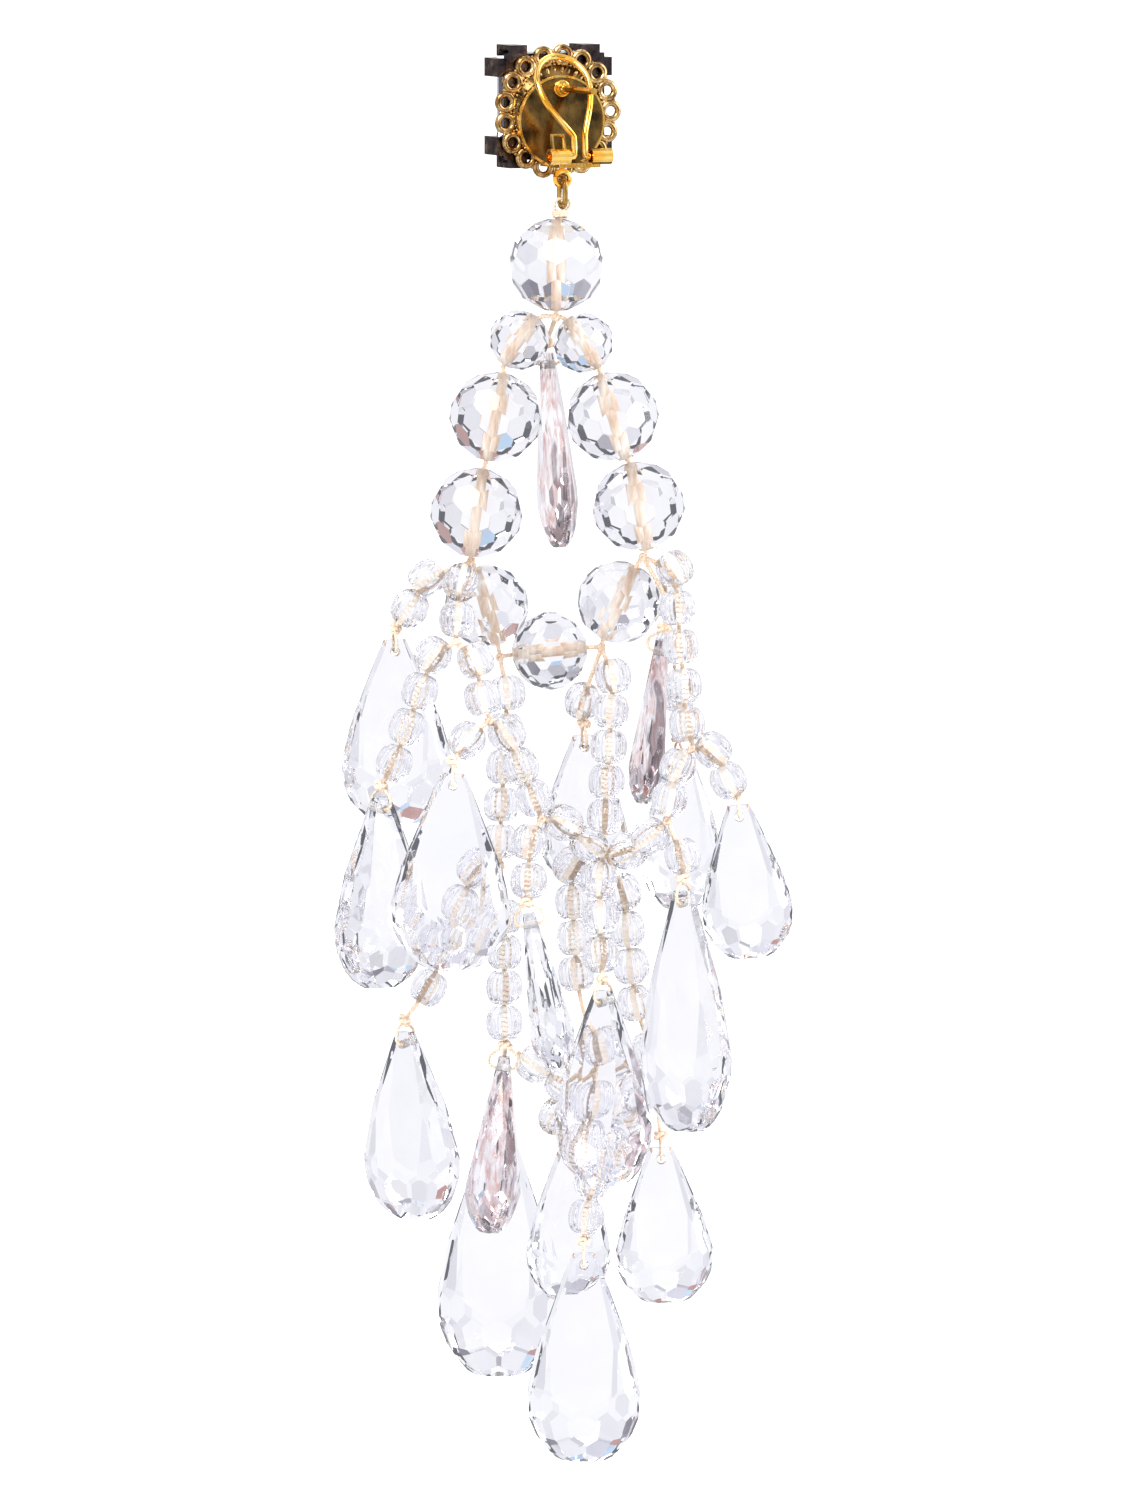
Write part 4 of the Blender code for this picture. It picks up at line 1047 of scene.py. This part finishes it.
for node, surface in (("clip_back", clipBackPlating), ("stone_cup", gunmetal), ("head_stone", smokeStone)):
    mesh = frame["nodes"][node].data
    mesh.materials.clear()
    mesh.materials.append(surface)
print("head dressed")


# floor, light and camera
studio = {
    "floorBelow": 0.03,
    "floorSize": 60,
    "lightPower": 26,
    "lightSize": 0.9,
    "fillPower": 12,
    "hazeScale": 3.2,
    "hazeTints": [(0.32, (0.70, 0.70, 0.75)), (0.46, (0.86, 0.86, 0.90)), (0.62, (0.96, 0.96, 0.975))],
    "accentScale": 8,
    "accentTints": [
        (0.0, (1.0, 1.0, 1.0)),
        (0.50, (0.78, 0.78, 0.84)),
        (0.64, (1.0, 1.0, 1.0)),
        (0.78, (0.45, 0.44, 0.48)),
        (0.85, (0.58, 0.77, 0.95)),
        (0.90, (0.24, 0.23, 0.26)),
        (0.95, (0.55, 0.30, 0.26)),
    ],
    "throughStrength": 1.08,
    "mirrorScale": 2.6,
    "mirrorTints": [
        (0.0, (1.0, 1.0, 1.0)),
        (0.38, (0.42, 0.37, 0.33)),
        (0.55, (0.05, 0.04, 0.035)),
        (0.72, (1.0, 0.98, 0.95)),
        (0.90, (0.16, 0.13, 0.11)),
    ],
    "mirrorStrength": 1.2,
    "floorGlow": 0.35,
}
shot = {"azimuth": -22, "elevation": 5, "distance": 1.8, "frameHeight": 0.195, "pivotRise": 0.0733}

floorMesh = bmesh.new()
bmesh.ops.create_grid(floorMesh, x_segments=2, y_segments=2, size=studio["floorSize"] / 2)
mesh = bpy.data.meshes.new("floor")
floorMesh.to_mesh(mesh)
floorMesh.free()
floor = bpy.data.objects.new("floor", mesh)
floor.location = (0, 0, cadBox[0][2] - studio["floorBelow"])
bpy.context.scene.collection.objects.link(floor)
floorPaper, tree, shader = newMaterial("palePaper")
grain = objectNoise(tree, 40)
ramp = addRamp(tree, grain.outputs["Fac"], [(0.3, (0.955, 0.955, 0.955)), (0.7, (0.97, 0.97, 0.97))])
tree.links.new(ramp.outputs["Color"], shader.inputs["Base Color"])
shader.inputs["Roughness"].default_value = 0.9
shader.inputs["Emission Color"].default_value = (1, 1, 1, 1)
shader.inputs["Emission Strength"].default_value = studio["floorGlow"]
mesh.materials.append(floorPaper)
floor.visible_transmission = False
floor.visible_glossy = False

world = bpy.data.worlds.new("studio")
bpy.context.scene.world = world
world.use_nodes = True
tree = world.node_tree
tree.nodes.clear()
coords = tree.nodes.new("ShaderNodeTexCoord")


def cellColours(scale, stops):
    cells = addNode(tree, "ShaderNodeTexVoronoi", Scale=scale)
    tree.links.new(coords.outputs["Generated"], cells.inputs["Vector"])
    channels = tree.nodes.new("ShaderNodeSeparateColor")
    tree.links.new(cells.outputs["Color"], channels.inputs["Color"])
    return addRamp(tree, channels.outputs["Red"], stops, constant=True)


def mixColours(factor, one, two, blend="MIX"):
    mix = tree.nodes.new("ShaderNodeMix")
    mix.data_type = "RGBA"
    mix.blend_type = blend
    if isinstance(factor, float):
        mix.inputs["Factor"].default_value = factor
    else:
        tree.links.new(factor, mix.inputs["Factor"])
    tree.links.new(one, mix.inputs["A"])
    tree.links.new(two, mix.inputs["B"])
    return mix.outputs["Result"]


def glow(colour, strength):
    sky = addNode(tree, "ShaderNodeBackground", Strength=strength)
    tree.links.new(colour, sky.inputs["Color"])
    return sky.outputs["Background"]


# seen through glass: pale haze at eye level, small accents above and fainter ones below
haze = addNode(tree, "ShaderNodeTexNoise", Scale=studio["hazeScale"], Detail=1)
tree.links.new(coords.outputs["Generated"], haze.inputs["Vector"])
hazeColour = addRamp(tree, haze.outputs["Fac"], studio["hazeTints"])
axes = tree.nodes.new("ShaderNodeSeparateXYZ")
tree.links.new(coords.outputs["Generated"], axes.inputs["Vector"])
above = addRamp(tree, axes.outputs["Z"], [(0.10, (0, 0, 0)), (0.26, (1, 1, 1))])
accents = cellColours(studio["accentScale"], studio["accentTints"])
white = tree.nodes.new("ShaderNodeRGB")
white.outputs[0].default_value = (1, 1, 1, 1)
masked = mixColours(above.outputs["Color"], white.outputs[0], accents.outputs["Color"])
through = glow(mixColours(1.0, hazeColour.outputs["Color"], masked, "MULTIPLY"), studio["throughStrength"])

# seen in the metal: broad light and dark
mirrorCells = cellColours(studio["mirrorScale"], studio["mirrorTints"])
mirrored = glow(mirrorCells.outputs["Color"], studio["mirrorStrength"])
plain = glow(white.outputs[0], 1.0)

path = tree.nodes.new("ShaderNodeLightPath")
direct = tree.nodes.new("ShaderNodeMath")
direct.operation = "MAXIMUM"
tree.links.new(path.outputs["Is Camera Ray"], direct.inputs[0])
tree.links.new(path.outputs["Is Diffuse Ray"], direct.inputs[1])
behind = tree.nodes.new("ShaderNodeMixShader")
tree.links.new(path.outputs["Is Singular Ray"], behind.inputs["Fac"])
tree.links.new(mirrored, behind.inputs[1])
tree.links.new(through, behind.inputs[2])
mix = tree.nodes.new("ShaderNodeMixShader")
tree.links.new(direct.outputs["Value"], mix.inputs["Fac"])
tree.links.new(behind.outputs["Shader"], mix.inputs[1])
tree.links.new(plain, mix.inputs[2])
output = tree.nodes.new("ShaderNodeOutputWorld")
tree.links.new(mix.outputs["Shader"], output.inputs["Surface"])
bpy.context.scene.view_settings.view_transform = "Standard"

middle = (Vector(cadBox[0]) + Vector(cadBox[1])) / 2


def addSoftLight(name, spot, power, size):
    lamp = bpy.data.lights.new(name, "AREA")
    lamp.energy = power
    lamp.size = size
    holder = bpy.data.objects.new(name, lamp)
    holder.location = middle + Vector(spot)
    holder.rotation_euler = (middle - holder.location).to_track_quat("-Z", "Y").to_euler()
    bpy.context.scene.collection.objects.link(holder)


addSoftLight("keyLight", (-0.9, -1.1, 1.2), studio["lightPower"], studio["lightSize"])
addSoftLight("fillLight", (1.2, -0.6, 0.5), studio["fillPower"], studio["lightSize"])
addSoftLight("backLight", (0.3, 0.9, 2.2), studio["fillPower"], studio["lightSize"])

azimuth = math.radians(shot["azimuth"])
elevation = math.radians(shot["elevation"])
toward = Vector((
    math.sin(azimuth) * math.cos(elevation), -math.cos(azimuth) * math.cos(elevation), math.sin(elevation)
))
turned = toward.to_track_quat("Z", "Y")
pictureUp = turned @ Vector((0, 1, 0))
target = jointPlaces["drop_swing"] - pictureUp * shot["pivotRise"]
lens = bpy.data.cameras.new("camera")
lens.sensor_fit = "VERTICAL"
lens.sensor_height = 36
lens.lens = lens.sensor_height * shot["distance"] / shot["frameHeight"]
lens.clip_end = 200
camera = bpy.data.objects.new("camera", lens)
camera.location = target + toward * shot["distance"]
camera.rotation_euler = turned.to_euler()
bpy.context.scene.collection.objects.link(camera)
bpy.context.scene.camera = camera
print("studio set")
